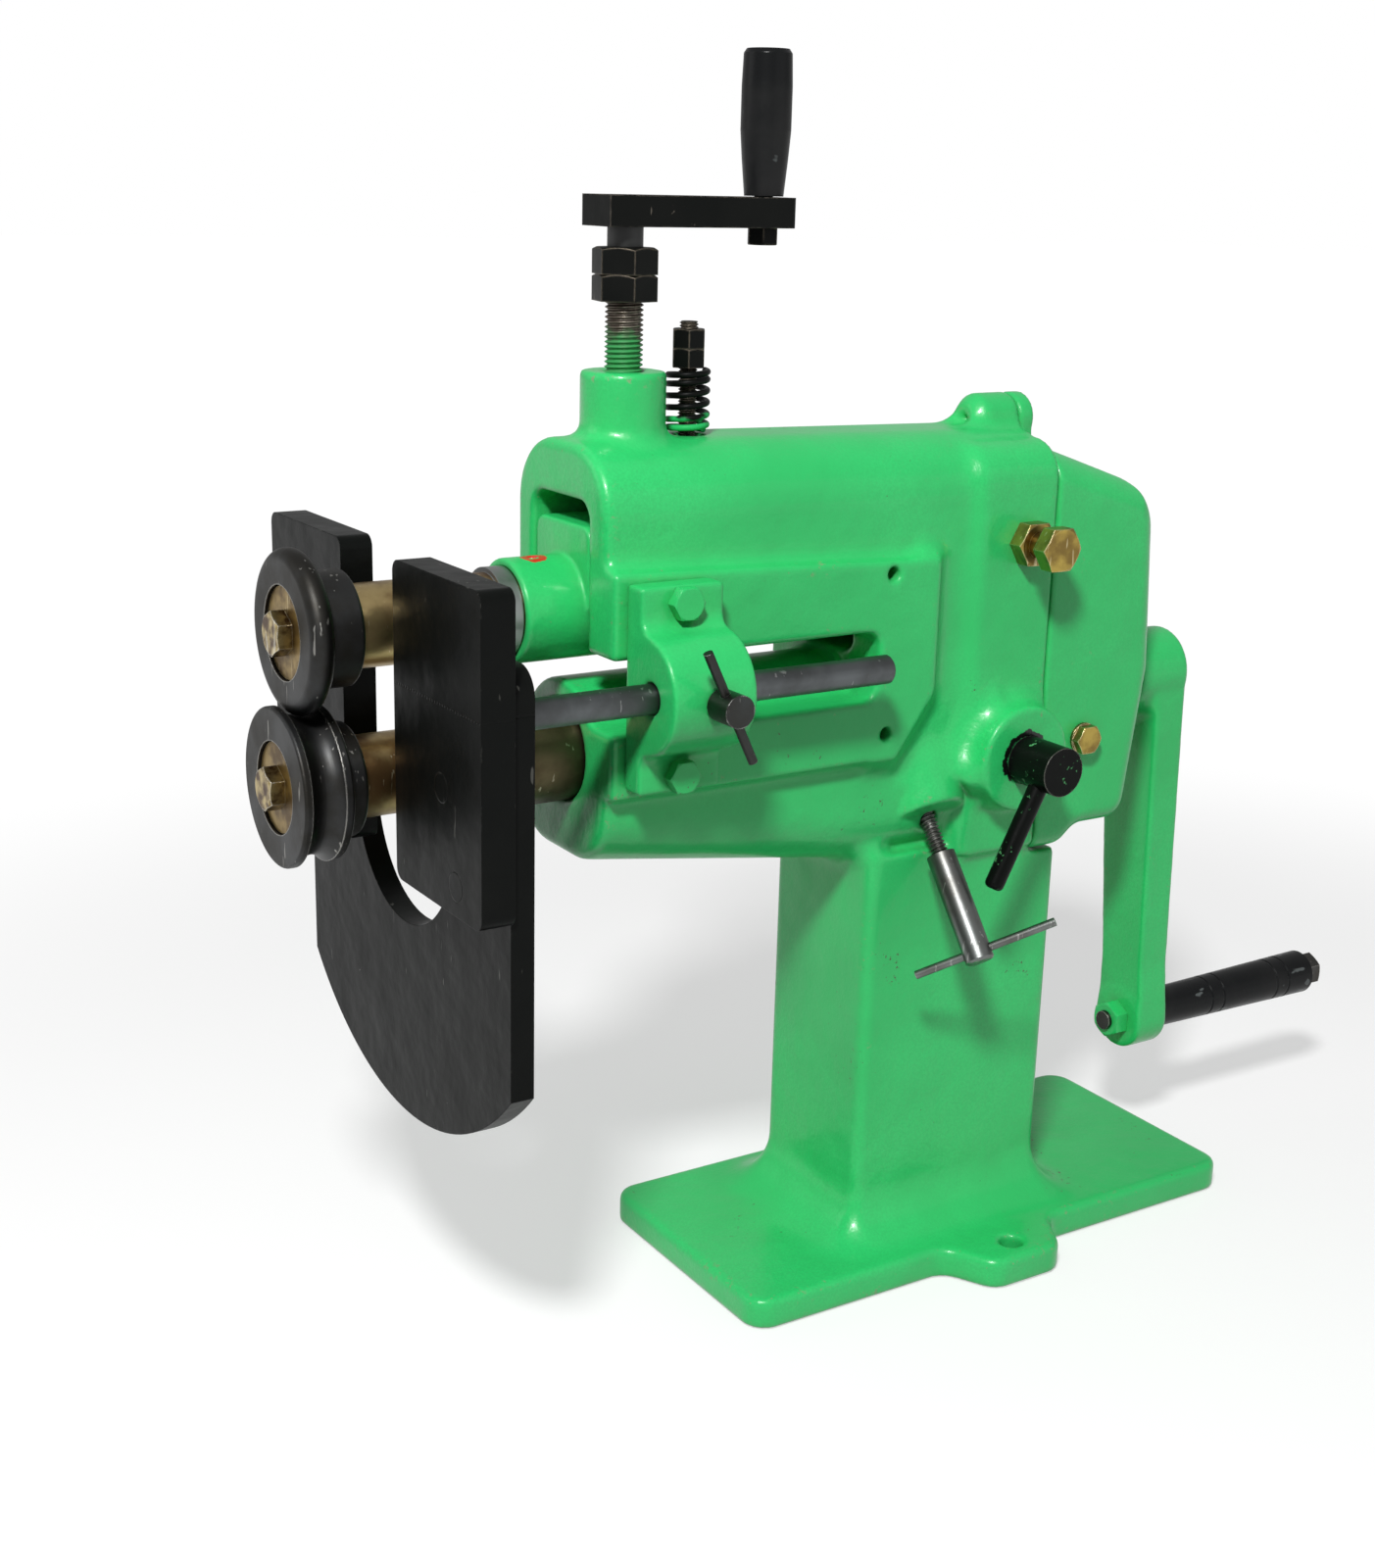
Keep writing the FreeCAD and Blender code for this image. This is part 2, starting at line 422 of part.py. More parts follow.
def frameCasting():
    lobe = turned("clampLobe", [("0", "0"), ("0", "lobeFootRadius"),
                                ("lobeTip - lobeFoot", "lobeTipRadius"), ("lobeTip - lobeFoot", "0")],
                  **clampPoint("lobeFoot", toFront))
    rounded(lobe, "lobeTipRound", "lobeTipRound",
            lambda edge: near(edge.Length, 2 * math.pi * size("lobeTipRadius")))
    mass = join("castingMass", [
        baseAndColumn(), headBody(), housingBody(), padBody(), lobe,
        rod("screwBoss", "bossRadius", "bossTop - headTop + 2 * rootDepth", "screwX", "0",
            "headTop - 2 * rootDepth"),
        taper("screwBossFoot", "bossFootRadius", "bossRadius", "bossFootHeight", "screwX", "0",
              "headTop - over"),
        rod("lug", "lugRadius", "splitPlane - lugFront", "lugFront", "0", "lugAxis", toRear),
        taper("lugNose", "lugRadius", "lugTipRadius", "lugNose", "lugFront", "0", "lugAxis", toFront),
        rod("eccentricBoss", "eccentricBossRadius", "eccentricBossFace - headHalf + rootDepth",
            "eccentricX", "rootDepth - headHalf", "eccentricHeight", toNear)])
    slot = newBody("throatSlot")
    side = [("headFront - over", "slotBottom"), ("slotRear", "slotBottom"), ("slotRear", "slotTop"),
            ("headFront - over", "slotTop")]
    pad(slot, "slotCut", outline(slot, "slotSide", "XZ_Plane", side), "2 * padReach + 4 * over", True)
    rounded(slot, "slotEnd", "slotRound",
            lambda edge: runsAlong(edge, "y") and near(edge.CenterOfMass.x, size("slotRear")))
    slotted = cut("slottedMass", mass, [slot])
    ridge = rod("quillRidge", "ridgeRadius", "slotRear - headFront + 2 * over", "headFront", "0",
                "lowerAxis", toRear)
    cavity = newBody("barrelCavity")
    section = [("-cavityHalf", "cavityBottom"), ("cavityHalf", "cavityBottom"),
               ("cavityHalf", "cavityTop"), ("-cavityHalf", "cavityTop")]
    pad(cavity, "cavityCut", outline(cavity, "cavitySection", "YZ_Plane", section, "headFront - over"),
        "cavityRear - headFront + 2 * over")
    rounded(cavity, "cavityCrown", "cavityRound",
            lambda edge: runsAlong(edge, "x") and near(edge.CenterOfMass.z, size("cavityTop")))
    hollows = [
        cavity,
        block("rearChamber", "cavityRear", "-chamberHalf", "chamberBottom",
              "splitPlane - cavityRear + over", "2 * chamberHalf", "chamberTop - chamberBottom"),
        rod("quillBore", "quillRadius + runningFit", "cavityRear - headFront + 2 * over",
            "headFront - over", "0", "lowerAxis", toRear),
        rod("screwThread", "screwRadius + threadFit", "bossTop - cavityTop + 2 * rootDepth", "screwX",
            "0", "cavityTop - rootDepth"),
        rod("studHole", "studHoleRadius", "headTop - cavityTop + 2 * rootDepth", "studX + studHoleShift",
            "0", "cavityTop - rootDepth"),
        rod("pivotThread", "pivotRadius + threadFit", "2 * housingHalf + 2 * over", "pivotX",
            "housingHalf + over", "pivotHeight", toNear),
        block("coverLedge", "splitPlane", "-columnHalf - over", "coverFoot - ledgeGap",
              "columnRear - splitPlane + over", "2 * columnHalf + 2 * over",
              "housingBottom - coverFoot + ledgeGap + rootDepth + over"),
        rod("eccentricBore", "eccentricRadius + runningFit", "eccentricBossFace - chamberHalf + 3 * over",
            "eccentricX", "2 * over - chamberHalf", "eccentricHeight", toNear),
        rod("clampThread", "clampRadius + threadFit", "clampGripStart - quillRadius",
            **clampPoint("quillRadius - 2 * over")),
        rod("lugThread", "coverBoltRadius + threadFit", "splitPlane - coverBoltEnd + over",
            "coverBoltEnd", "0", "lugAxis", toRear),
        rod("lugVent", "lugHoleRadius", "coverBoltEnd - lugFront + lugNose + over", "coverBoltEnd", "0",
            "lugAxis", toFront)]
    for side in ("-", ""):
        hollows.append(rod("earHole", "earHoleRadius", "baseThickness + 2 * over", "earCentre",
                           "%searHoleSpacing / 2" % side, "-over"))
        hollows.append(rod("coverThread", "coverBoltRadius + threadFit",
                           "splitPlane - coverBoltEnd + over", "coverBoltEnd", "%scoverBoltSide" % side,
                           "coverBoltHeight", toRear))
    for row in ("-", "+"):
        level = "gaugeRodAxis %s bracketBoltSpacing / 2" % row
        hollows.append(rod("padThread", "padHoleRadius", "padHoleDepth + over", "padHoleX",
                           "padHoleDepth - padReach", level, toNear))
        hollows.append(rod("bracketThread", "bracketBoltRadius + threadFit", "bracketBoltDepth + over",
                           "bracketX", "bracketBoltDepth - padReach", level, toNear))
    return cut("frameCasting", join("ridgedMass", [slotted, ridge]), hollows)


def gearCover():
    body = newBody("coverShell")
    front = "splitPlane + coverSeam"
    side = [(front, "coverFoot"), ("coverToe", "coverFoot"), ("coverStep", "coverBottom"),
            ("coverHeel", "coverBottom"), ("coverRear", "coverBulge"),
            ("coverRear - coverTopLean", "coverTopRear"), (front, "coverTopFront")]
    pad(body, "coverBlock", outline(body, "coverSide", "XZ_Plane", side), "2 * housingHalf", True)
    rounded(body, "coverCrest", "coverCorner",
            lambda edge: runsAlong(edge, "y") and near(edge.CenterOfMass.z, size("coverTopRear")))
    rounded(body, "coverHeelCorners", "heelRound",
            lambda edge: runsAlong(edge, "y") and edge.CenterOfMass.x > size("splitPlane") + margin
            and edge.CenterOfMass.z < size("upperAxis"))
    rounded(body, "coverRimRound", "coverRim", lambda edge: near(edge.BoundBox.YLength, 0)
            and edge.CenterOfMass.x > size("splitPlane") + margin)
    mass = join("coverMass", [
        common("crownedShell", body, coverCrown()),
        rod("coverLug", "lugRadius", "lugRear - splitPlane - coverSeam", front, "0", "lugAxis", toRear),
        rod("coverBoss", "coverBossRadius", "coverBossRear - coverRear + rootDepth",
            "coverRear - rootDepth", "0", "lowerAxis", toRear)])
    room = "gearRoomRear - splitPlane + over"
    hollows = [
        rod("upperGearRoom", "gearRoomRadius", room, "splitPlane - over", "0", "upperAxis", toRear),
        rod("lowerGearRoom", "gearRoomRadius", room, "splitPlane - over", "0", "lowerAxis", toRear),
        block("betweenRooms", "splitPlane - over", "-gearRoomRadius", "lowerAxis", room,
              "2 * gearRoomRadius", "shaftCentres"),
        rod("bushBore", "coverBushRadius", "coverBossRear - gearRoomRear + 2 * over",
            "gearRoomRear - over", "0", "lowerAxis", toRear),
        rod("lugBoltHole", "coverBoltRadius + holePlay", "lugRear - splitPlane + 2 * over",
            "splitPlane - over", "0", "lugAxis", toRear),
        rod("bossRelief", "eccentricBossRadius + hubGap", "housingHalf - headHalf + rootDepth + 2 * over",
            "eccentricX", "rootDepth + over - headHalf", "eccentricHeight", toNear),
        rod("plugThread", "plugRadius + threadFit", "plugDepth + over", "plugX",
            "plugDepth - housingHalf", "plugHeight", toNear)]
    for side in ("-", ""):
        hollows.append(rod("coverBoltHole", "coverBoltRadius + holePlay",
                           "coverRear - splitPlane + 2 * over", "splitPlane - over",
                           "%scoverBoltSide" % side, "coverBoltHeight", toRear))
        hollows.append(rod("spotFace", "spotFaceRadius", "coverRear - coverBoltSeat + over",
                           "coverBoltSeat", "%scoverBoltSide" % side, "coverBoltHeight", toRear))
    return cut("gearCover", mass, hollows)


def coverCrown():
    # The cover's top, rounded along both sides where it slopes to the rear.
    fall = math.degrees(math.atan((size("coverTopFront") - size("coverTopRear"))
                                  / (size("coverRear") - size("splitPlane") - size("coverSeam"))))
    body = newBody("coverCrown")
    section = [("-housingHalf - over", "-coverTopFront"), ("housingHalf + over", "-coverTopFront"),
               ("housingHalf + over", "0"), ("-housingHalf - over", "0")]
    pad(body, "crownBlock", outline(body, "crownSection", "YZ_Plane", section, "-housingHalf"),
        "4 * housingHalf")
    rounded(body, "crownRound", "housingRound + over",
            lambda edge: runsAlong(edge, "x") and near(edge.CenterOfMass.z, 0))
    place(body, "splitPlane + coverSeam", "0", "coverTopFront",
          FreeCAD.Rotation(FreeCAD.Vector(0, 1, 0), fall))
    return body


def bolt(label, across, head, radius, length, x, y, z, turn, backTurn):
    # A hexagon head on its seat with the shank behind it; turn points out of the seat.
    return join(label, [hexagon(label + "Head", across, head, x, y, z, turn),
                        rod(label + "Shank", radius, length, x, y, z, backTurn)])


def coverFasteners():
    bolts = [bolt("lugBolt", "coverBoltWidth", "coverBoltHead", "coverBoltRadius",
                  "lugRear - coverBoltEnd", "lugRear", "0", "lugAxis", toRear, toFront)]
    for side in ("-", ""):
        bolts.append(bolt("coverBolt", "coverBoltWidth", "coverBoltHead", "coverBoltRadius",
                          "coverBoltSeat - coverBoltEnd", "coverBoltSeat", "%scoverBoltSide" % side,
                          "coverBoltHeight", toRear, toFront))
    keep(group("coverBolts", bolts), "cover_bolts")
    plug = bolt("oilPlug", "plugHeadWidth", "plugHeadHeight", "plugRadius", "plugDepth", "plugX",
                "-housingHalf", "plugHeight", toNear, toFar)
    flange = rod("plugFlange", "plugFlangeRadius", "plugFlange", "plugX", "-housingHalf", "plugHeight",
                 toNear)
    keep(join("flangedPlug", [plug, flange]), "oil_plug")


def pivots():
    screws = []
    locknuts = []
    for side, out, back in (("-", toNear, toFar), ("", toFar, toNear)):
        face = "pivotHeadFace - pivotHeadHeight"
        head = hexagon("pivotHead", "pivotHeadWidth", "pivotHeadHeight", "pivotX",
                       "%s(%s)" % (side, face), "pivotHeight", out)
        thread = rod("pivotThreaded", "pivotRadius", "%s - blockHalf - dogShoulder" % face, "pivotX",
                     "%s(%s)" % (side, face), "pivotHeight", back)
        dog = rod("pivotDog", "dogRadius", "dogReach + dogShoulder + over", "pivotX",
                  "%s(blockHalf + dogShoulder + over)" % side, "pivotHeight", back)
        screws.append(join("pivotScrew", [head, thread, dog]))
        nut = hexagon("pivotNut", "pivotHeadWidth", "locknutHeight", "pivotX", "%shousingHalf" % side,
                      "pivotHeight", out)
        hole = rod("pivotNutHole", "pivotRadius + threadFit", "locknutHeight + 2 * over", "pivotX",
                   "%s(housingHalf - over)" % side, "pivotHeight", out)
        locknuts.append(cut("pivotLocknut", nut, [hole]))
    keep(group("pivotScrews", screws), "pivot_screws")
    keep(group("pivotLocknuts", locknuts), "pivot_locknuts")


def upperBarrel():
    saddle = newBody("saddle")
    section = [("-saddleHalf", "upperAxis"), ("saddleHalf", "upperAxis"), ("saddleHalf", "saddleTop"),
               ("-saddleHalf", "saddleTop")]
    pad(saddle, "saddleBlock", outline(saddle, "saddleSection", "YZ_Plane", section, "saddleFront"),
        "saddleRear - saddleFront")
    rounded(saddle, "saddleCrown", "saddleRound",
            lambda edge: runsAlong(edge, "x") and near(edge.CenterOfMass.z, size("saddleTop")))
    mass = join("barrelMass", [
        rod("barrelTube", "barrelRadius", "barrelRear - noseFront", "noseFront", "0", "upperAxis", toRear),
        saddle,
        block("pivotBlock", "blockFront", "-blockHalf", "blockBottom", "barrelRear - blockFront",
              "2 * blockHalf", "blockTop - blockBottom")])
    hollows = [
        rod("barrelBore", "barrelBore", "barrelRear - noseFront + 2 * over", "noseFront - over", "0",
            "upperAxis", toRear),
        rod("frontBushSeat", "bushRadius", "bushLength + over", "noseFront - over", "0", "upperAxis",
            toRear),
        rod("rearBushSeat", "bushRadius", "bushLength + over", "barrelRear - bushLength", "0",
            "upperAxis", toRear),
        rod("studThread", "studRadius + threadFit", "studDepth + over", "studX", "0",
            "saddleTop - studDepth"),
        rod("oilHole", "oilHoleRadius", "barrelRadius + over", "oilHoleX", "0", "upperAxis")]
    for side, out in (("-", toNear), ("", toFar)):
        hollows.append(rod("dogHole", "dogRadius + runningFit", "dogReach + dogBottom + over", "pivotX",
                           "%s(blockHalf - dogReach - dogBottom)" % side, "pivotHeight", out))
    keep(cut("upperBarrel", mass, hollows), "upper_barrel")
    keep(group("barrelBushes",
               [bush("noseFront", "upperAxis"), bush("barrelRear - bushLength", "upperAxis")]),
         "barrel_bushes")


def bush(start, height):
    ring = rod("bushRing", "bushRadius", "bushLength", start, "0", height, toRear)
    bore = rod("bushHole", "journalRadius + runningFit", "bushLength + 2 * over", "%s - over" % start,
               "0", height, toRear)
    return cut("bush", ring, [bore])


def lowerQuill():
    tube = rod("quillTube", "quillRadius", "quillRear - noseFront", "noseFront", "0", "lowerAxis", toRear)
    reach = "(eccentricPinRadius + pinPlay)"
    hollows = [
        rod("quillHole", "barrelBore", "quillRear - noseFront + 2 * over", "noseFront - over", "0",
            "lowerAxis", toRear),
        rod("frontQuillSeat", "bushRadius", "bushLength + over", "noseFront - over", "0", "lowerAxis",
            toRear),
        rod("rearQuillSeat", "bushRadius", "rearQuillBush + over", "quillRear - rearQuillBush", "0",
            "lowerAxis", toRear),
        block("eccentricSlot", "eccentricX - %s" % reach, "-quillRadius",
              "lowerAxis - quillRadius - over", "2 * %s" % reach, "2 * quillRadius",
              "pinHeight + eccentricPinRadius + pinHeadroom - lowerAxis + quillRadius + over")]
    keep(cut("lowerQuill", tube, hollows), "lower_quill")
    rearRing = rod("rearQuillRing", "bushRadius", "rearQuillBush", "quillRear - rearQuillBush", "0",
                   "lowerAxis", toRear)
    rearHole = rod("rearQuillHole", "journalRadius + runningFit", "rearQuillBush + 2 * over",
                   "quillRear - rearQuillBush - over", "0", "lowerAxis", toRear)
    keep(group("quillBushes",
               [bush("noseFront", "lowerAxis"), cut("rearQuillBush", rearRing, [rearHole])]),
         "quill_bushes")


def key(label, seatRadius, start, length, height):
    return block(label, start, "-keyWidth / 2", "%s + %s - keySink" % (height, seatRadius), length,
                 "keyWidth", "keyHeight")


def keyway(label, seatRadius, start, length, height):
    return block(label, start, "-keyWidth / 2 - keyPlay", height, length, "keyWidth + 2 * keyPlay",
                 "%s - keySink + keyHeight + keyPlay" % seatRadius)


def shaftLine(name, height, rollFace, washerFace, tailSteps):
    # The stepped shaft from the roll's seat to its tail, with its roll bolt, washer and keys.
    seatEnd = "%s + washerThickness + seatShort" % washerFace
    collarRear = "noseFront - endPlay"
    collarFront = "%s - collarLength" % collarRear
    profile = [(seatEnd, "0"), (seatEnd, "rollSeatRadius"), ("rollShoulder", "rollSeatRadius"),
               ("rollShoulder", "spacerRadius"), (collarFront, "spacerRadius"),
               (collarFront, "collarRadius"), (collarRear, "collarRadius"), (collarRear, "journalRadius"),
               ("gearFront", "journalRadius"), ("gearFront", "gearSeatRadius"),
               ("gearRear", "gearSeatRadius")] + tailSteps
    shaft = turned(name + "ShaftTurned", profile, z=height)
    rollKey = key(name + "RollKey", "rollSeatRadius", "rollShoulder - rollKeyLength - keyInset",
                  "rollKeyLength", height)
    gearKey = key(name + "GearKey", "gearSeatRadius", "gearFront + keyInset / 2", "gearWidth - keyInset",
                  height)
    boltHole = rod(name + "BoltHole", "rollBoltRadius + threadFit", "rollBoltLength + 2 * over",
                   washerFace, "0", height, toRear)
    tools = [rollKey, gearKey, boltHole]
    keep(rollKey, name + "_roll_key")
    keep(gearKey, name + "_gear_key")
    washer = cut(name + "Washer", rod(name + "WasherDisc", "washerRadius",
                                      "washerThickness", washerFace, "0", height, toRear),
                 [rod(name + "WasherHole", "rollBoltRadius + holePlay", "washerThickness + 2 * over",
                      "%s - over" % washerFace, "0", height, toRear)])
    keep(washer, name + "_roll_washer")
    keep(bolt(name + "RollBolt", "rollBoltWidth", "rollBoltHead", "rollBoltRadius", "rollBoltLength",
              washerFace, "0", height, toFront, toRear), name + "_roll_bolt")
    nut = hexagon(name + "GearNut", "gearNutWidth", "gearNutHeight", "gearRear", "0", height, toRear)
    nutHole = rod(name + "GearNutHole", "gearNutRadius + threadFit", "gearNutHeight + 2 * over",
                  "gearRear - over", "0", height, toRear)
    keep(cut(name + "GearNutTapped", nut, [nutHole]), name + "_gear_nut")
    return shaft, tools


def rollBores(name, height, rollFace, washerFace):
    return [
        rod(name + "RollBore", "rollSeatRadius", "rollShoulder - (%s) + 2 * over" % rollFace,
            "%s - over" % rollFace, "0", height, toRear),
        rod(name + "RollRecess", "rollRecessRadius", "washerInset + washerThickness + over",
            "%s - over" % rollFace, "0", height, toRear),
        keyway(name + "RollKeyway", "rollSeatRadius", rollFace, "rollShoulder - (%s) + over" % rollFace,
               height)]


def distanceRing(name, height, front, bores):
    # The ring between a roll and its shaft's shoulder, with the roll's bore and keyway.
    profile = [(front, "rollSeatRadius - boreStock"), (front, "hubRadius"), ("rollShoulder", "hubRadius"),
               ("rollShoulder", "rollSeatRadius - boreStock")]
    body = turned(name + "RingTurned", profile, z=height)
    rounded(body, name + "RingEdge", "hubEdge",
            lambda edge: near(edge.BoundBox.ZLength, 2 * size("hubRadius"))
            and near(edge.CenterOfMass.x, size("rollShoulder")))
    bore, recess, slot = bores
    return cut(name + "DistanceRing", body, [bore, slot])


def upperShaftLine():
    tail = [("gearRear", "gearNutRadius"), ("gearRear + gearNutHeight + gearThreadOver", "gearNutRadius"),
            ("gearRear + gearNutHeight + gearThreadOver", "0")]
    shaft, tools = shaftLine("upper", "upperAxis", "upperRollFace", "upperWasherFace", tail)
    keep(cut("upperShaft", shaft, tools), "upper_shaft")
    face = "upperRollFace"
    rimRear = "upperRollFace + rimWidth"
    profile = [(face, "rollSeatRadius - boreStock"), (face, "upperRimRadius"),
               (rimRear, "upperRimRadius"), (rimRear, "rollSeatRadius - boreStock")]
    body = turned("upperRollTurned", profile, z="upperAxis")
    rounded(body, "rimRound", "rimRound",
            lambda edge: near(edge.BoundBox.ZLength, 2 * size("upperRimRadius")))
    bores = rollBores("upper", "upperAxis", face, "upperWasherFace")
    keep(cut("upperRoll", body, bores), "upper_roll")
    keep(distanceRing("upper", "upperAxis", rimRear, bores), "upper_roll_spacer")


def lowerShaftLine():
    threadEnd = "gearRear + gearNutHeight + gearThreadOver / 2"
    tail = [("gearRear", "gearNutRadius"), (threadEnd, "gearNutRadius"), (threadEnd, "tailRadius"),
            ("crankHubRear", "tailRadius"), ("crankHubRear", "0")]
    shaft, tools = shaftLine("lower", "lowerAxis", "lowerRollFace", "lowerWasherFace", tail)
    crankKey = key("crankKey", "tailRadius", "crankHubFront + crankKeyInset",
                   "crankHubRear - crankHubFront - crankKeyInset", "lowerAxis")
    keep(crankKey, "crank_key")
    keep(cut("lowerShaft", shaft, tools + [crankKey]), "lower_shaft")
    face = "lowerRollFace"
    profile = [(face, "rollSeatRadius - boreStock"), (face, "lowerRimRadius"),
               ("grooveCentre", "lowerRimRadius"), ("grooveCentre", "rearFlangeRadius"),
               ("rearFlangeFace", "rearFlangeRadius"), ("rearFlangeFace", "rollSeatRadius - boreStock")]
    body = turned("lowerRollTurned", profile, z="lowerAxis")
    outer = (size("lowerRollFace"), size("rearFlangeFace"))
    rounded(body, "flangeEdges", "flangeEdge",
            lambda edge: edge.BoundBox.ZLength > 2 * size("rearFlangeRadius") - tolerance
            and (near(edge.CenterOfMass.x, outer[0]) or near(edge.CenterOfMass.x, outer[1])))
    groove = document.addObject("Part::Torus", "beadGroove")
    bind(groove, Radius1="shaftCentres - upperRimRadius - rollGap + grooveRadius", Radius2="grooveRadius")
    place(groove, "grooveCentre", "0", "lowerAxis", toRear)
    bores = rollBores("lower", "lowerAxis", face, "lowerWasherFace")
    keep(cut("lowerRoll", body, bores + [groove]), "lower_roll")
    keep(distanceRing("lower", "lowerAxis", "rearFlangeFace", bores), "lower_roll_spacer")


def gearShape(height, phase, hubFront):
    # An involute spur gear with thinned teeth, its key slot and the hub that spaces it from the bearing.
    teeth = int(size("gearTeeth"))
    pitchRadius = size("shaftCentres") / 2
    tipRadius = pitchRadius + size("gearAddendum")
    rootRadius = pitchRadius - size("gearDedendum")
    pressure = math.radians(size("pressureAngle"))
    baseRadius = pitchRadius * math.cos(pressure)

    def involute(angle):
        return math.tan(angle) - angle

    halfAtPitch = math.pi / (2 * teeth) - size("gearBacklash") / (4 * pitchRadius)
    flank = []
    start = max(baseRadius, rootRadius)
    for share in (0.0, 1 / 3, 2 / 3, 1.0):
        radius = start + (tipRadius - start) * share
        slope = math.acos(min(1.0, baseRadius / radius))
        flank.append((radius, halfAtPitch + involute(pressure) - involute(slope)))
    flank.insert(0, (rootRadius, flank[0][1]))
    points = []
    for tooth in range(teeth):
        middle = phase + 2 * math.pi * tooth / teeth
        sides = [(radius, middle - half) for radius, half in flank]
        sides += [(radius, middle + half) for radius, half in reversed(flank)]
        for radius, angle in sides:
            points.append(FreeCAD.Vector(0, radius * math.cos(angle), radius * math.sin(angle)))
    front = FreeCAD.Vector(size("gearFront"), 0, height)
    along = FreeCAD.Vector(1, 0, 0)
    rim = Part.Face(Part.makePolygon(points + points[:1])).extrude(along * size("gearWidth"))
    rim.translate(front)
    hubStart = FreeCAD.Vector(hubFront, 0, height)
    hub = Part.makeCylinder(size("gearHubRadius"), size("gearFront") - hubFront + size("over"), hubStart,
                            along)
    clearance = Part.makeCylinder(size("journalRadius"), size("gearFront") - hubFront, hubStart, along)
    boreLength = size("gearWidth") + size("over")
    bore = Part.makeCylinder(size("gearSeatRadius"), boreLength, front, along)
    slotHalf = size("keyWidth") / 2 + size("keyPlay")
    slotHeight = size("gearSeatRadius") - size("keySink") + size("keyHeight") + size("keyPlay")
    slot = Part.makeBox(boreLength, 2 * slotHalf, slotHeight, front - FreeCAD.Vector(0, slotHalf, 0))
    return rim.fuse(hub).cut(Part.makeCompound([clearance, bore, slot]))


def gears():
    half = math.pi / size("gearTeeth")
    lower = document.addObject("Part::Feature", "lowerGear")
    lower.Shape = gearShape(size("lowerAxis"), math.pi / 2, size("quillRear") + size("endPlay"))
    keep(lower, "lower_gear")
    upper = document.addObject("Part::Feature", "upperGear")
    upper.Shape = gearShape(size("upperAxis"), -math.pi / 2 + half, size("barrelRear") + size("endPlay"))
    keep(upper, "upper_gear")


def eccentric():
    hubStart = "eccentricBossFace + hubGap"
    shaft = join("eccentricShaft", [
        rod("leverHub", "hubLeverRadius", "hubLeverFace - eccentricBossFace - hubGap", "eccentricX",
            "-(%s)" % hubStart, "eccentricHeight", toNear),
        rod("eccentricJournal", "eccentricRadius", "%s - eccentricInner" % hubStart, "eccentricX",
            "-eccentricInner", "eccentricHeight", toNear),
        rod("eccentricPin", "eccentricPinRadius", "eccentricInner + pinOverrun + over", "eccentricX",
            "pinOverrun", "pinHeight", toNear)])
    lean = FreeCAD.Rotation(FreeCAD.Vector(0, 1, 0), 180 + size("leverLean"))
    profile = [("hubLeverRadius - leverRoot", "0"), ("hubLeverRadius - leverRoot", "leverRadius"),
               ("leverLength", "leverRadius"), ("leverLength", "0")]
    lever = turned("leverRod", profile, "eccentricX", "-leverReach", "eccentricHeight",
                   lean.multiply(toFront))
    rounded(lever, "leverTip", "leverTipRound",
            lambda edge: near(edge.CenterOfMass.x, size("leverLength")))
    keep(cut("eccentricDrilled", shaft, [lever]), "eccentric_shaft")
    keep(lever, "eccentric_lever")


def clampScrew():
    bar = rod("clampBar", "barRadius", "clampBarLength", **clampBarPlace())
    body = join("clampScrewSolid", [
        rod("clampThreaded", "clampRadius", "clampGripStart - quillRadius",
            **clampPoint("quillRadius + clampTipGap")),
        rod("clampGrip", "clampGripRadius", "clampGripEnd - clampGripStart",
            **clampPoint("clampGripStart"))])
    keep(cut("clampScrew", body, [bar]), "quill_clamp_screw")
    keep(bar, "clamp_bar")


def clampBarPlace():
    # The bar lies square to the screw, turned about it from the X direction.
    lean = math.radians(size("clampLean"))
    turn = math.radians(size("clampBarTurn"))
    inward = FreeCAD.Vector(0, math.cos(lean), -math.sin(lean))
    along = FreeCAD.Vector(1, 0, 0) * math.cos(turn) + inward * math.sin(turn)
    half = "(clampBarLength / 2 - clampBarShift)"
    distance = "clampGripEnd - clampBarInset"
    return {"x": "clampX - %s * cos(clampBarTurn)" % half,
            "y": "-(%s) * sin(clampLean) - %s * sin(clampBarTurn) * cos(clampLean)" % (distance, half),
            "z": "lowerAxis - (%s) * cos(clampLean) + %s * sin(clampBarTurn) * sin(clampLean)"
            % (distance, half), "turn": FreeCAD.Rotation(FreeCAD.Vector(0, 0, 1), along)}


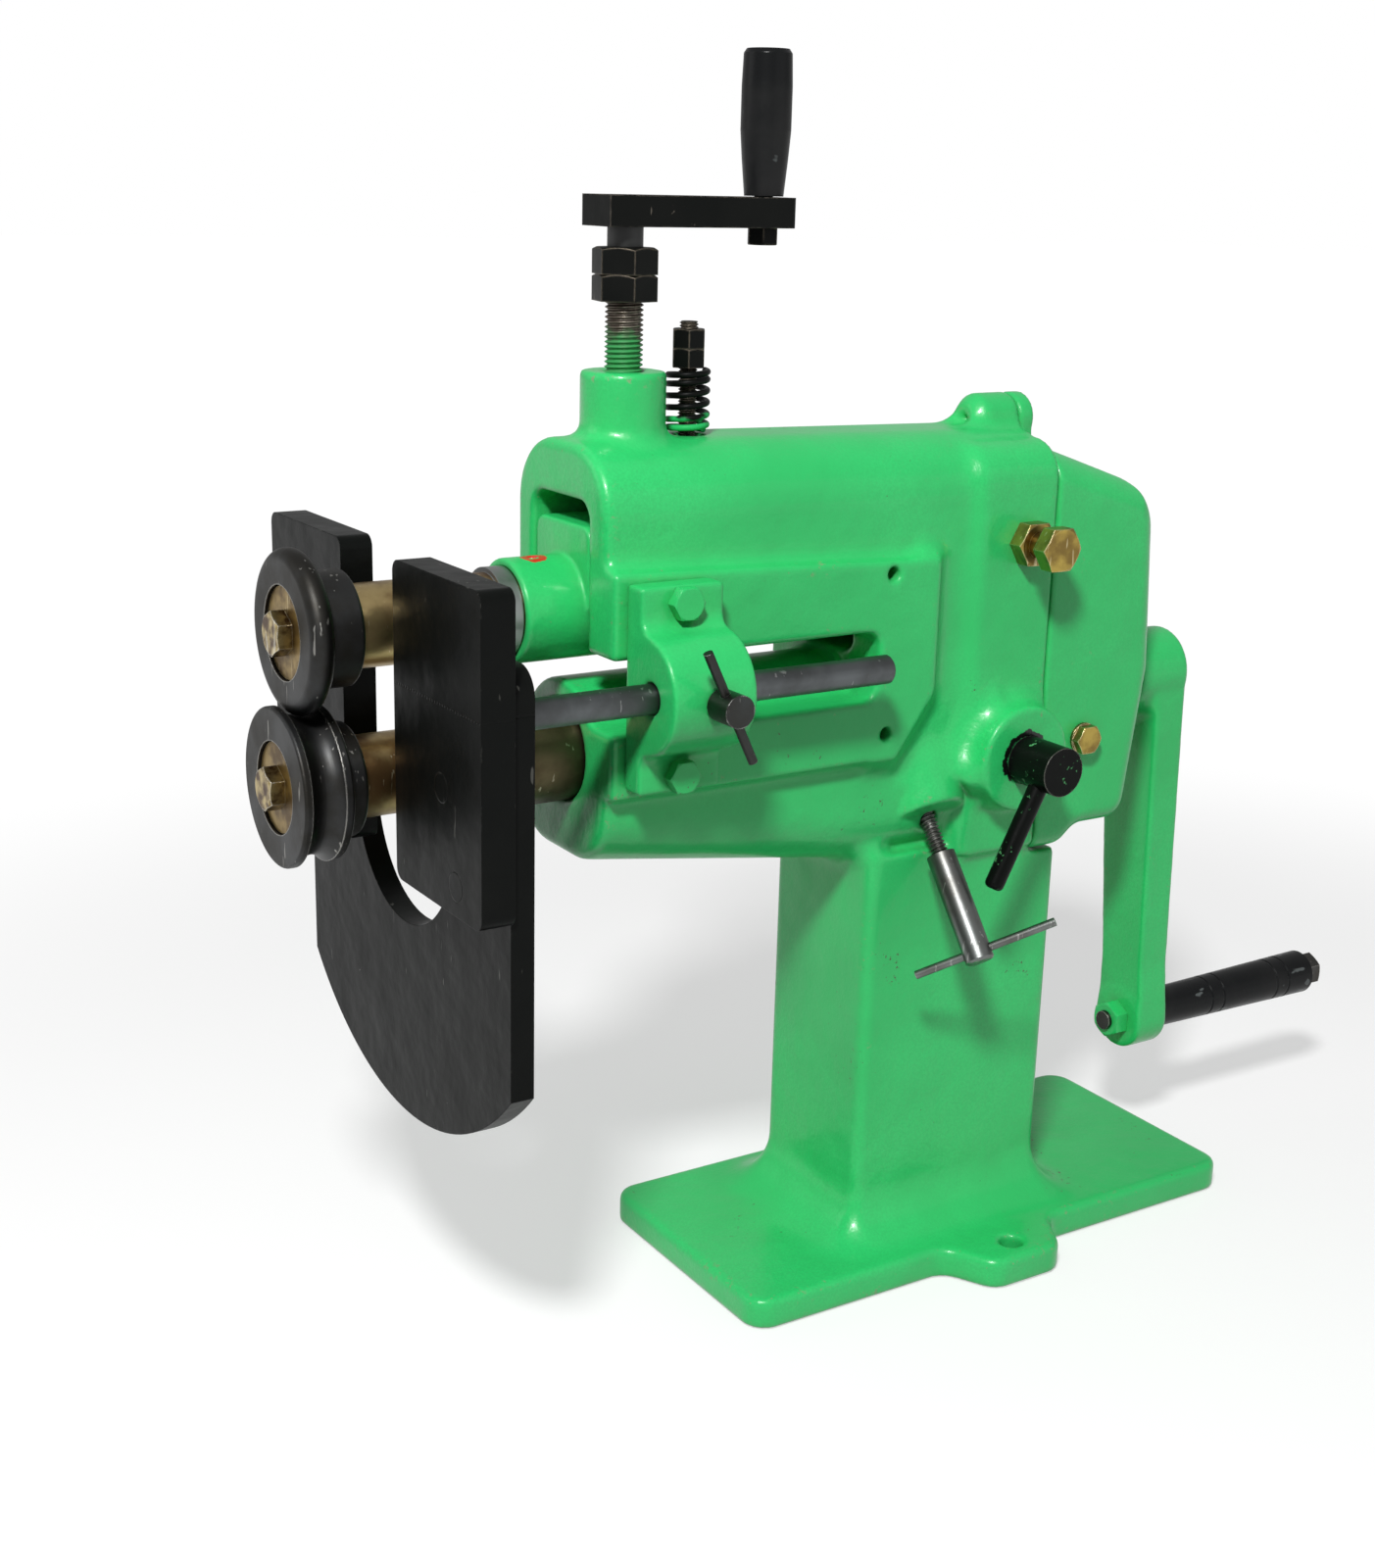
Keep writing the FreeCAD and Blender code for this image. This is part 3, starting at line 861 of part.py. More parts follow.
def driveCrank():
    # The arm leans outwards from its hub to its foot, and narrows between them.
    face = newBody("crankFace")
    section = [("-crankNeckHalf", "lowerAxis"), ("-crankWaistHalf", "gripAxis + crankWaistRise"),
               ("-crankFootRadius", "gripAxis"), ("crankFootRadius", "gripAxis"),
               ("crankWaistHalf", "gripAxis + crankWaistRise"), ("crankNeckHalf", "lowerAxis")]
    pad(face, "crankFacePlate", outline(face, "crankFaceSection", "YZ_Plane", section, "crankHubFront"),
        "crankFootRear - crankHubFront")
    web = newBody("crankWeb")
    side = [("crankHubRear - crankWebThickness", "lowerAxis"),
            ("crankFootRear - crankWebThickness", "gripAxis"), ("crankFootRear", "gripAxis"),
            ("crankHubRear", "lowerAxis")]
    pad(web, "crankWebPlate", outline(web, "crankWebSection", "XZ_Plane", side), "2 * crankHubRadius",
        True)
    mass = join("crankMass", [
        common("crankArmWeb", face, web),
        rod("crankHub", "crankHubRadius", "crankHubRear - crankHubFront", "crankHubFront", "0",
            "lowerAxis", toRear),
        rod("crankFoot", "crankFootRadius", "crankFootRear - crankFootFront", "crankFootFront", "0",
            "gripAxis", toRear)])
    tools = [
        rod("crankBore", "tailRadius", "crankHubRear - crankHubFront + 2 * over", "crankHubFront - over",
            "0", "lowerAxis", toRear),
        keyway("crankKeyway", "tailRadius", "crankHubFront - over",
               "crankHubRear - crankHubFront + 2 * over", "lowerAxis"),
        rod("crankPinHole", "gripBoltRadius", "crankFootRear - crankFootFront + 2 * over",
            "crankFootFront - over", "0", "gripAxis", toRear)]
    keep(cut("crankArm", mass, tools), "crank_arm")
    keep(bolt("gripBolt", "gripNutWidth", "gripHeadHeight", "gripBoltRadius",
              "gripRear + gripPlay - crankFootFront + gripNutHeight + gripBoltOver",
              "gripRear + gripPlay", "0", "gripAxis", toRear, toFront), "grip_bolt")
    gripNut = hexagon("gripNutHex", "gripNutWidth", "gripNutHeight", "crankFootFront", "0", "gripAxis",
                      toFront)
    gripNutHole = rod("gripNutHole", "gripBoltRadius + threadFit", "gripNutHeight + 2 * over",
                      "crankFootFront + over", "0", "gripAxis", toFront)
    keep(cut("gripNut", gripNut, [gripNutHole]), "grip_nut")
    keep(crankGrip(), "crank_grip")


def crankGrip():
    def wall(place):
        share = "((%s - gripFront) / (gripRear - gripFront))" % place
        return "gripFrontRadius + (gripRearRadius - gripFrontRadius) * %s" % share

    bore = "gripBoltRadius + runningFit"
    profile = [("gripFront", bore), ("gripFront", "gripFrontRadius - gripEndRound"),
               ("gripFront + gripEndRound", "gripFrontRadius")]
    grooves = ["gripFront + 2 * grooveInset", "gripFront + 2 * grooveInset + grooveSpacing",
               "gripRear - grooveInset - grooveSpacing", "gripRear - grooveInset"]
    for middle in grooves:
        for step, depth in (("- grooveHalf", "0"), ("", "grooveDepth"), ("+ grooveHalf", "0")):
            spot = "%s %s" % (middle, step)
            profile.append((spot, "%s - %s" % (wall("(%s)" % spot), depth)))
    profile += [("gripRear - gripEndRound", "gripRearRadius"),
                ("gripRear", "gripRearRadius - gripEndRound"), ("gripRear", bore)]
    return turned("crankGrip", profile, z="gripAxis")


def pressingScrew():
    armBottom = "screwTopEnd"
    armTop = "screwTopEnd + armHeight"
    screw = join("pressingScrewSolid", [
        rod("screwThreaded", "screwRadius", "nutBottom + 2 * nutHeight - screwEnd", "screwX", "0",
            "screwEnd"),
        rod("screwShank", "shankRadius", "armNeck + armHeight", "screwX", "0",
            "nutBottom + 2 * nutHeight")])
    keep(screw, "pressing_screw")
    nuts = []
    for index in range(2):
        level = "nutBottom + %d * nutHeight" % index
        nut = hexagon("stopNut", "nutWidth", "nutHeight", "screwX", "0", level,
                      FreeCAD.Rotation(FreeCAD.Vector(0, 0, 1), size("nutTurn")))
        hole = rod("stopNutHole", "screwRadius + threadFit", "nutHeight + 2 * over", "screwX", "0",
                   "%s - over" % level)
        nuts.append(cut("stopNutTapped", nut, [hole]))
    keep(group("stopNuts", nuts), "stop_nuts")
    plate = newBody("topArmPlate")
    front = "screwX - topArmFrontReach"
    rear = "screwX + topCrankRadius + topArmRearReach"
    plan = [(front, "-topArmWidth / 2"), (rear, "-topArmWidth / 2"), (rear, "topArmWidth / 2"),
            (front, "topArmWidth / 2")]
    pad(plate, "topArmBar", outline(plate, "topArmPlan", "XY_Plane", plan, armBottom), "armHeight")
    rounded(plate, "topArmEnd", "topArmRound", lambda edge: runsAlong(edge, "z")
            and near(edge.CenterOfMass.x,
                     size("screwX") + size("topCrankRadius") + size("topArmRearReach")))
    holes = [
        rod("topArmHole", "shankRadius", "armHeight + 2 * over", "screwX", "0", "%s - over" % armBottom),
        rod("topPinHole", "topPinRadius", "armHeight + 2 * over", "screwX + topCrankRadius", "0",
            "%s - over" % armBottom)]
    keep(cut("topCrankArm", plate, holes), "top_crank_arm")
    pinX = "screwX + topCrankRadius"
    keep(bolt("topGripPin", "topPinHeadWidth", "topPinHeadHeight", "topPinRadius",
              "armHeight + topGripLength - topPinShort", pinX, "0", armBottom, upsideDown, upright),
         "top_grip_pin")
    bore = "topPinRadius + runningFit"
    foot = "%s + gripPlay" % armTop
    profile = [("0", bore), ("0", "topGripFootRadius"), ("topGripNeckLevel", "topGripNeckRadius"),
               ("topGripBellyLevel", "topGripBellyRadius"), ("topGripBellyEnd", "topGripBellyRadius"),
               ("topGripShoulder", "topGripTopRadius"), ("topGripLength", "topGripCrownRadius"),
               ("topGripLength", "0"), ("topGripLength - topGripCap", "0"),
               ("topGripLength - topGripCap", bore)]
    keep(turned("topGrip", profile, pinX, "0", foot, toFront), "top_grip")
    dome = turned("thrustPadTurned",
                  [("0", "0"), ("0", "thrustPadFlat"), ("thrustPadDome", "thrustPadRadius"),
                   ("screwEnd - saddleTop - thrustGap", "thrustPadRadius"),
                   ("screwEnd - saddleTop - thrustGap", "0")], "screwX", "0", "saddleTop + thrustGap",
                  toFront)
    keep(dome, "thrust_pad")


def liftStud():
    keep(rod("liftStud", "studRadius", "stackTop + studTip - saddleTop + studDepth", "studX", "0",
             "saddleTop - studDepth"), "lift_stud")
    nuts = []
    for index in range(2):
        level = "springTop + springSeatGap + %d * studNutHeight" % index
        nut = hexagon("studNut", "studNutWidth", "studNutHeight", "studX", "0", level, upright)
        hole = rod("studNutHole", "studRadius + threadFit", "studNutHeight + 2 * over", "studX", "0",
                   "%s - over" % level)
        nuts.append(cut("studNutTapped", nut, [hole]))
    keep(group("liftNuts", nuts), "lift_nuts")


def biarc(first, firstWay, last, lastWay):
    # Two arcs that leave the first point along its tangent and reach the last one along its own.
    chord = last - first
    ways = firstWay + lastWay
    bend = 2 * (1 - firstWay.dot(lastWay))
    reach = (math.sqrt(chord.dot(ways) ** 2 + bend * chord.dot(chord)) - chord.dot(ways)) / bend
    early = first + firstWay * reach
    late = last - lastWay * reach
    middle = (early + late) * 0.5
    return [arcFrom(first, firstWay, middle), arcFrom(middle, (late - early).normalize(), last)]


def arcFrom(start, way, end):
    chord = end - start
    half = chord * 0.5
    side = way - chord * (way.dot(chord) / chord.dot(chord))
    side.normalize()
    turn = way.getAngle(chord)
    return Part.Arc(start, start + half + side * (half.Length * math.tan(turn / 2)), end).toShape()


def liftSpring():
    wire = size("wireRadius")
    radius = size("coilRadius")
    closed = size("closedTurns")
    openTurns = size("openTurns")
    turns = 2 * closed + openTurns
    height = size("springLength") - 2 * wire
    openPitch = (height - 2 * closed * size("closedPitch")) / openTurns
    quarters = int(round(4 * turns))

    def pitch(turn):
        return openPitch if closed < turn < turns - closed else size("closedPitch")

    levels = [0.0]
    for quarter in range(quarters):
        levels.append(levels[-1] + pitch((quarter + 0.5) / 4) / 4)
    centre = FreeCAD.Vector(size("studX"), 0, size("springBottom") + wire)
    points = []
    ways = []
    for quarter in range(quarters + 1):
        angle = math.pi / 2 * quarter
        before = pitch(max(quarter - 0.5, 0.5) / 4)
        after = pitch(min(quarter + 0.5, quarters - 0.5) / 4)
        rise = (before + after) / 2 / (2 * math.pi)
        points.append(centre + FreeCAD.Vector(radius * math.cos(angle), radius * math.sin(angle),
                                              levels[quarter]))
        way = FreeCAD.Vector(-radius * math.sin(angle), radius * math.cos(angle), rise)
        ways.append(way.normalize())
    arcs = []
    for quarter in range(quarters):
        arcs += biarc(points[quarter], ways[quarter], points[quarter + 1], ways[quarter + 1])
    path = Part.Wire(arcs)
    section = Part.Wire(Part.Circle(points[0], ways[0], wire).toShape())
    spring = document.addObject("Part::Feature", "liftSpring")
    spring.Shape = path.makePipeShell([section], True, False)
    perQuarter = 12
    trail = path.discretize(Number=perQuarter * quarters)
    gap = min(first.distanceToPoint(second) for index, first in enumerate(trail)
              for second in trail[index + 2 * perQuarter:]) - 2 * wire
    print("lift spring: %.2f turns, least gap to itself %.2f mm" % (turns, gap))
    return spring


def gaugeBracket():
    flange = block("bracketFlangePlate", "bracketX - bracketWidth / 2", "-bracketFace",
                   "gaugeRodAxis - bracketHeight / 2", "bracketWidth", "bracketFlange", "bracketHeight")
    bulge = rod("bracketBulge", "bulgeRadius", "bracketWidth", "bracketX - bracketWidth / 2",
                "-bulgeReach", "gaugeRodAxis", toRear)
    behind = block("bracketSeat", "bracketX - bracketWidth", "-padReach", "gaugeRodAxis - bracketHeight",
                   "2 * bracketWidth", "bracketHeight", "2 * bracketHeight")
    tools = [
        behind,
        rod("gaugeRodHole", "gaugeRodRadius + runningFit", "bracketWidth + 2 * over",
            "bracketX - bracketWidth / 2 - over", "-gaugeRodReach", "gaugeRodAxis", toRear),
        rod("gaugeScrewHole", "gaugeScrewRadius + threadFit", "bulgeTip - gaugeRodReach + over",
            "gaugeScrewX", "-gaugeRodReach", "gaugeRodAxis", toNear)]
    bolts = []
    for row in ("-", "+"):
        level = "gaugeRodAxis %s bracketBoltSpacing / 2" % row
        tools.append(rod("bracketBoltHole", "bracketBoltRadius + holePlay", "bracketFlange + 2 * over",
                         "bracketX", "over - padReach", level, toNear))
        bolts.append(bolt("bracketBolt", "bracketBoltWidth", "bracketBoltHead", "bracketBoltRadius",
                          "bracketFlange + bracketBoltDepth - boltEndGap", "bracketX", "-bracketFace",
                          level, toNear, toFar))
    keep(cut("gaugeBracket", join("bracketMass", [flange, bulge]), tools), "gauge_bracket")
    keep(group("bracketBolts", bolts), "bracket_bolts")


def gaugeClamp():
    tip = "gaugeRodReach + gaugeRodRadius + gaugeTipGap"
    headStart = "bulgeTip + gaugeHeadGap"
    bar = rod("gaugeBar", "barRadius", "gaugeBarLength",
              "gaugeScrewX + gaugeBarLength / 2 * sin(gaugeBarLean)", "-(%s + gaugeHeadLength / 2)"
              % headStart, "gaugeRodAxis - gaugeBarLength / 2 * cos(gaugeBarLean)",
              FreeCAD.Rotation(FreeCAD.Vector(0, 1, 0), -size("gaugeBarLean")))
    body = join("gaugeScrewSolid", [
        rod("gaugeScrewThread", "gaugeScrewRadius", "%s - (%s)" % (headStart, tip), "gaugeScrewX",
            "-(%s)" % tip, "gaugeRodAxis", toNear),
        rod("gaugeScrewHead", "gaugeHeadRadius", "gaugeHeadLength", "gaugeScrewX", "-(%s)" % headStart,
            "gaugeRodAxis", toNear)])
    keep(cut("gaugeScrew", body, [bar]), "gauge_clamp_screw")
    keep(bar, "gauge_clamp_bar")


def gaugePlates():
    plate = newBody("backPlateBlank")
    section = [("-backPlateHalf", "backPlateLow"), ("backPlateHalf", "backPlateLow"),
               ("backPlateHalf", "backPlateTop"), ("-backPlateHalf", "backPlateTop")]
    pad(plate, "backPlateSheet",
        outline(plate, "backPlateSection", "YZ_Plane", section, "backPlateFront"), "backPlateThickness")
    rounded(plate, "backPlateCorners", "backPlateCorner",
            lambda edge: runsAlong(edge, "x") and near(edge.CenterOfMass.z, size("backPlateTop")))
    disc = rod("backPlateCurve", "backPlateRadius", "backPlateThickness + 2 * over",
               "backPlateFront - over", "0", "backPlateLow + backPlateRadius", toRear)
    mouth = [
        rod("mouthEnd", "mouthRadius", "backPlateThickness + 2 * over", "backPlateFront - over", "0",
            "mouthCentre", toRear),
        block("mouthSides", "backPlateFront - over", "-mouthRadius", "mouthCentre",
              "backPlateThickness + 2 * over", "2 * mouthRadius", "backPlateTop - mouthCentre + over"),
        rod("spigotHole", "spigotRadius", "backPlateThickness + 2 * over", "backPlateFront - over",
            "-gaugeRodReach", "gaugeRodAxis", toRear)]
    facePlates = []
    screws = []
    for side, sign in (("-", -1), ("", 1)):
        face = newBody("facePlate")
        inner = "%sfacePlateInner" % side
        outer = "%s(facePlateInner + facePlateWidth)" % side
        section = [(inner, "facePlateBottom"), (outer, "facePlateBottom"), (outer, "facePlateTop"),
                   (inner, "facePlateTop")]
        pad(face, "facePlateSheet",
            outline(face, "facePlateSection", "YZ_Plane", section, "facePlateFront"),
            "facePlateThickness")
        rounded(face, "facePlateCorners", "facePlateCorner", lambda edge: runsAlong(edge, "x"))
        sinks = []
        for reach, level in (("highScrewReach", "highScrewHeight"), ("lowScrewReach", "lowScrewHeight")):
            y = "%s%s" % (side, reach)
            screw = join("plateScrew", [
                taper("plateScrewCone", "plateScrewHead", "plateScrewRadius", "plateScrewSink",
                      "facePlateFront", y, level, toRear),
                rod("plateScrewShank", "plateScrewRadius", "plateScrewLength", "facePlateFront", y, level,
                    toRear)])
            screws.append(screw)
            sinks.append(screw)
        facePlates.append(cut("facePlateDrilled", face, sinks))
    keep(cut("backPlate", common("backPlateOutline", plate, disc), mouth + screws), "gauge_back_plate")
    keep(group("facePlates", facePlates), "gauge_face_plates")
    keep(group("plateScrews", screws), "gauge_plate_screws")
    profile = [("backPlateFront", "0"), ("backPlateFront", "spigotRadius"),
               ("backPlateRear", "spigotRadius"), ("backPlateRear", "gaugeRodRadius"),
               ("gaugeRodRear - rodEndBevel", "gaugeRodRadius"),
               ("gaugeRodRear", "gaugeRodRadius - rodEndBevel"), ("gaugeRodRear", "0")]
    keep(turned("gaugeRod", profile, "0", "-gaugeRodReach", "gaugeRodAxis"), "gauge_rod")


def coverBush():
    ring = rod("coverBushRing", "coverBushRadius", "coverBossRear - gearRoomRear - bushInset",
               "gearRoomRear + bushInset", "0", "lowerAxis", toRear)
    hole = rod("coverBushHole", "tailRadius + runningFit", "coverBossRear - gearRoomRear + 2 * over",
               "gearRoomRear - over", "0", "lowerAxis", toRear)
    return cut("coverBush", ring, [hole])


keep(frameCasting(), "frame_casting")
keep(gearCover(), "gear_cover")
coverFasteners()
keep(coverBush(), "cover_bush")
pivots()
upperBarrel()
liftStud()
keep(liftSpring(), "lift_spring")
lowerQuill()
upperShaftLine()
lowerShaftLine()
gears()
eccentric()
clampScrew()
driveCrank()
pressingScrew()
gaugeBracket()
gaugeClamp()
gaugePlates()
document.recompute()

failed = [feature.Name for feature in document.Objects if {"Invalid", "Error"} & set(feature.State)]
for feature in nodes:
    if feature.Shape.isNull() or not feature.Shape.isValid() or not feature.Shape.Solids:
        failed.append(feature.Label)
if failed:
    raise RuntimeError("not built: " + ", ".join(failed))

os.makedirs("parts", exist_ok=True)
for feature in nodes:
    feature.Shape.exportStep("parts/" + feature.Label + ".step")
print("%d nodes written" % len(nodes))
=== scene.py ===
import math
import bmesh
import bpy
import numpy as np
import openvdb
from mathutils import Matrix, Vector
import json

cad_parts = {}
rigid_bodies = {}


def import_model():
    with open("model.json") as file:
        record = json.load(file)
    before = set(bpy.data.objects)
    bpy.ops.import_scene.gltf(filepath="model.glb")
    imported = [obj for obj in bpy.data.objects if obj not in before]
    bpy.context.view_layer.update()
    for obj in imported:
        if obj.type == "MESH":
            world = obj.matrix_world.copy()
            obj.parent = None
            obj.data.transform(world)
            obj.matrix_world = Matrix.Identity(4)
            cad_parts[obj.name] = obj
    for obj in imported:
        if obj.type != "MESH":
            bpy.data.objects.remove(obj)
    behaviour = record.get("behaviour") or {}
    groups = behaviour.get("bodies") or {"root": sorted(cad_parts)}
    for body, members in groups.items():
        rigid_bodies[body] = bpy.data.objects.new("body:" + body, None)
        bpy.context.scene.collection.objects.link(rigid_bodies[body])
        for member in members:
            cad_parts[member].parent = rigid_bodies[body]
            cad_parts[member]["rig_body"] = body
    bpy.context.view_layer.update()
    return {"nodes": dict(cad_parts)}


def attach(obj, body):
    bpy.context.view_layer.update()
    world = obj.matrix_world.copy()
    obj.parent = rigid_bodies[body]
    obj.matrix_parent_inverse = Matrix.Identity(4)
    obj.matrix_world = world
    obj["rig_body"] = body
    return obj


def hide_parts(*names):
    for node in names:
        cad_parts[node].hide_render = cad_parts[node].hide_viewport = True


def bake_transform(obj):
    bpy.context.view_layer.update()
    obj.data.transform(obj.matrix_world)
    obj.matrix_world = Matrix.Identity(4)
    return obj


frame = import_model()
nodes = frame["nodes"]
scene = bpy.context.scene
scene.view_settings.view_transform = "Standard"
print("frame loaded:", len(nodes), "nodes")


def setInput(tree, socket, source):
    # A plain value is set on the socket, and anything else is linked to it.
    if isinstance(source, bpy.types.NodeSocket):
        tree.links.new(source, socket)
    elif isinstance(source, tuple) and len(source) == 3 and socket.type == "RGBA":
        socket.default_value = (*source, 1)
    else:
        socket.default_value = source


def addNode(tree, kind, inputs=(), **settings):
    node = tree.nodes.new(kind)
    for label, value in settings.items():
        setattr(node, label, value)
    for label, source in inputs:
        setInput(tree, node.inputs[label], source)
    return node


def work(tree, operation, first, second=0.0, clamp=False):
    return addNode(tree, "ShaderNodeMath", [(0, first), (1, second)], operation=operation,
                   use_clamp=clamp).outputs[0]


def spread(tree, value, low, high, start=0.0, end=1.0):
    # A value taken smoothly from one range to another.
    return addNode(tree, "ShaderNodeMapRange", [("Value", value), ("From Min", low), ("From Max", high),
                                                ("To Min", start), ("To Max", end)],
                   interpolation_type="SMOOTHSTEP").outputs[0]


def over(tree, share, below, above):
    # One colour laid over another, where the share says. The node has its colours at inputs 6 and 7.
    mix = addNode(tree, "ShaderNodeMix", data_type="RGBA")
    for number, source in ((0, share), (6, below), (7, above)):
        setInput(tree, mix.inputs[number], source)
    return mix.outputs[2]


def noise(tree, place, scale, detail=2.0, roughness=0.5):
    return addNode(tree, "ShaderNodeTexNoise", [("Vector", place), ("Scale", scale), ("Detail", detail),
                                                ("Roughness", roughness)]).outputs["Fac"]


def cutOff(tree, value, level, steep):
    # Nought up to the level, then a steep rise to one.
    return work(tree, "MULTIPLY", work(tree, "SUBTRACT", value, level), steep, clamp=True)


def objectPlace(tree):
    return addNode(tree, "ShaderNodeTexCoord").outputs["Object"]


def lengthOf(tree, vector):
    return addNode(tree, "ShaderNodeVectorMath", [(0, vector)], operation="LENGTH").outputs["Value"]


def placeParts(tree):
    return addNode(tree, "ShaderNodeSeparateXYZ", [(0, objectPlace(tree))]).outputs


def ragged(tree, place, scale, depth):
    # A noise about nought, to roughen the edge of a mark.
    return work(tree, "MULTIPLY", work(tree, "SUBTRACT", noise(tree, place, scale, 3.0, 0.6), 0.5), depth)


def newMaterial(name, **constants):
    material = bpy.data.materials.new(name)
    material.use_nodes = True
    tree = material.node_tree
    shader = tree.nodes["Principled BSDF"]
    for label, value in constants.items():
        shader.inputs[label.replace("_", " ")].default_value = value
    return material, tree, shader


view = {"place": (-0.6272, -0.7511, 0.5053), "yaw": 32.42, "pitch": 16.34, "roll": 1.41,
        "focal": 2118.9, "imageHeight": 1600, "sensor": 36.0, "nearClip": 0.01}


def makeCamera():
    # The photo's camera, from its place in metres, its turns in degrees and its focal length in pixels.
    yaw, pitch, roll = (math.radians(view[part]) for part in ("yaw", "pitch", "roll"))
    ahead = Vector((math.sin(yaw) * math.cos(pitch), math.cos(yaw) * math.cos(pitch), -math.sin(pitch)))
    level = Vector((math.cos(yaw), -math.sin(yaw), 0))
    upward = level.cross(ahead)
    across = level * math.cos(roll) + upward * math.sin(roll)
    upright = upward * math.cos(roll) - level * math.sin(roll)
    data = bpy.data.cameras.new("benchCamera")
    data.sensor_fit = "VERTICAL"
    data.sensor_height = view["sensor"]
    data.lens = view["focal"] / view["imageHeight"] * view["sensor"]
    data.clip_start = view["nearClip"]
    camera = bpy.data.objects.new("benchCamera", data)
    scene.collection.objects.link(camera)
    turn = Matrix((across, upright, -ahead)).transposed().to_4x4()
    camera.matrix_world = Matrix.Translation(view["place"]) @ turn
    scene.camera = camera


# Each lamp: the way from the machine to it, its distance, its width and its power in watts.
lamps = {"keyLamp": ((-0.52, -0.52, 0.70), 1.9, 0.26, 37.0),
         "fillLamp": ((0.45, -0.85, 0.20), 2.4, 2.2, 5.0),
         "rimLamp": ((-0.85, 0.45, 0.40), 2.2, 1.4, 5.0)}
room = {"middle": (-0.05, 0.0, 0.28), "skyLight": 0.26, "mirrored": 0.28, "floorShade": 0.52,
        "floorGlow": 0.49, "fade": (0.46, 0.98), "floorReach": 14.0,
        "floorDrop": 0.0003, "floorRoughness": 0.9, "floorSpecular": 0.1}


def addLamp(name, towards, distance, width, power):
    data = bpy.data.lights.new(name, "AREA")
    data.shape = "DISK"
    data.size = width
    data.energy = power
    lamp = bpy.data.objects.new(name, data)
    scene.collection.objects.link(lamp)
    way = Vector(towards).normalized()
    lamp.location = Vector(room["middle"]) + way * distance
    lamp.rotation_euler = (-way).to_track_quat("-Z", "Y").to_euler()


def seenShare(tree, mirrored):
    # One for what the camera sees or sees through glass, and a share of it in reflections.
    path = addNode(tree, "ShaderNodeLightPath").outputs
    dimmed = work(tree, "MULTIPLY", path["Is Glossy Ray"], mirrored)
    seen = work(tree, "MAXIMUM", path["Is Camera Ray"], dimmed)
    return work(tree, "MAXIMUM", seen, path["Is Transmission Ray"])


def makeSky():
    world = bpy.data.worlds.new("paleRoom")
    scene.world = world
    world.use_nodes = True
    tree = world.node_tree
    lit = tree.nodes["Background"]
    setInput(tree, lit.inputs["Color"], (1, 1, 1))
    setInput(tree, lit.inputs["Strength"], room["skyLight"])
    seen = addNode(tree, "ShaderNodeBackground", [("Color", (1, 1, 1))])
    mix = addNode(tree, "ShaderNodeMixShader", [(0, seenShare(tree, room["mirrored"])),
                                                (1, lit.outputs[0]), (2, seen.outputs[0])])
    tree.links.new(mix.outputs[0], tree.nodes["World Output"].inputs["Surface"])


def makeFloor():
    # A pale floor that keeps the shadow near the machine and fades to white further out.
    reach = room["floorReach"]
    mesh = bpy.data.meshes.new("floor")
    mesh.from_pydata([(-reach, -reach, 0), (reach, -reach, 0), (reach, reach, 0), (-reach, reach, 0)], [],
                     [(0, 1, 2, 3)])
    floor = bpy.data.objects.new("floor", mesh)
    scene.collection.objects.link(floor)
    floor.location.z = -room["floorDrop"]
    material, tree, shader = newMaterial("paleFloor", Roughness=room["floorRoughness"],
                                         Specular_IOR_Level=room["floorSpecular"],
                                         Emission_Color=(1, 1, 1, 1))
    away = lengthOf(tree, objectPlace(tree))
    shade = spread(tree, away, *room["fade"], room["floorShade"], 0.0)
    glow = spread(tree, away, *room["fade"], room["floorGlow"], 1.0)
    grey = addNode(tree, "ShaderNodeCombineColor", [(channel, shade) for channel in range(3)])
    tree.links.new(grey.outputs[0], shader.inputs["Base Color"])
    tree.links.new(work(tree, "MULTIPLY", seenShare(tree, 1.0), glow), shader.inputs["Emission Strength"])
    mesh.materials.append(material)


makeCamera()
for name, lamp in lamps.items():
    addLamp(name, *lamp)
makeSky()
makeFloor()
print("camera, lamps and floor made")


def newGroup(name, numbers, outputs):
    group = bpy.data.node_groups.new(name, "ShaderNodeTree")
    for label, value in numbers.items():
        socket = group.interface.new_socket(name=label, in_out="INPUT", socket_type="NodeSocketFloat")
        socket.default_value = value
    for label in outputs:
        group.interface.new_socket(name=label, in_out="OUTPUT", socket_type="NodeSocketFloat")
    return group, group.nodes.new("NodeGroupInput").outputs, group.nodes.new("NodeGroupOutput").inputs


# How each mask is made: the gain on the bend of the surface, the shares and scales of its noises, the
# level of noise where it starts and how steeply it rises to one from there.
masks = {"edges": {"bend": 7.0, "level": 0.80, "steep": 6.0},
         "rounded": {"bend": 7.0, "fine": 0.7, "patches": 0.3, "patchScale": 34.0, "level": 0.76,
                     "steep": 14.0},
         "specks": {"fine": 0.62, "broad": 0.38, "level": 0.74, "steep": 24.0},
         "corners": {"patchScale": 160.0, "gain": 1.6},
         "ring": {"steep": 6.0},
         "scratches": {"patches": 0.45, "patchScale": 45.0, "level": 0.80, "steep": 30.0}}


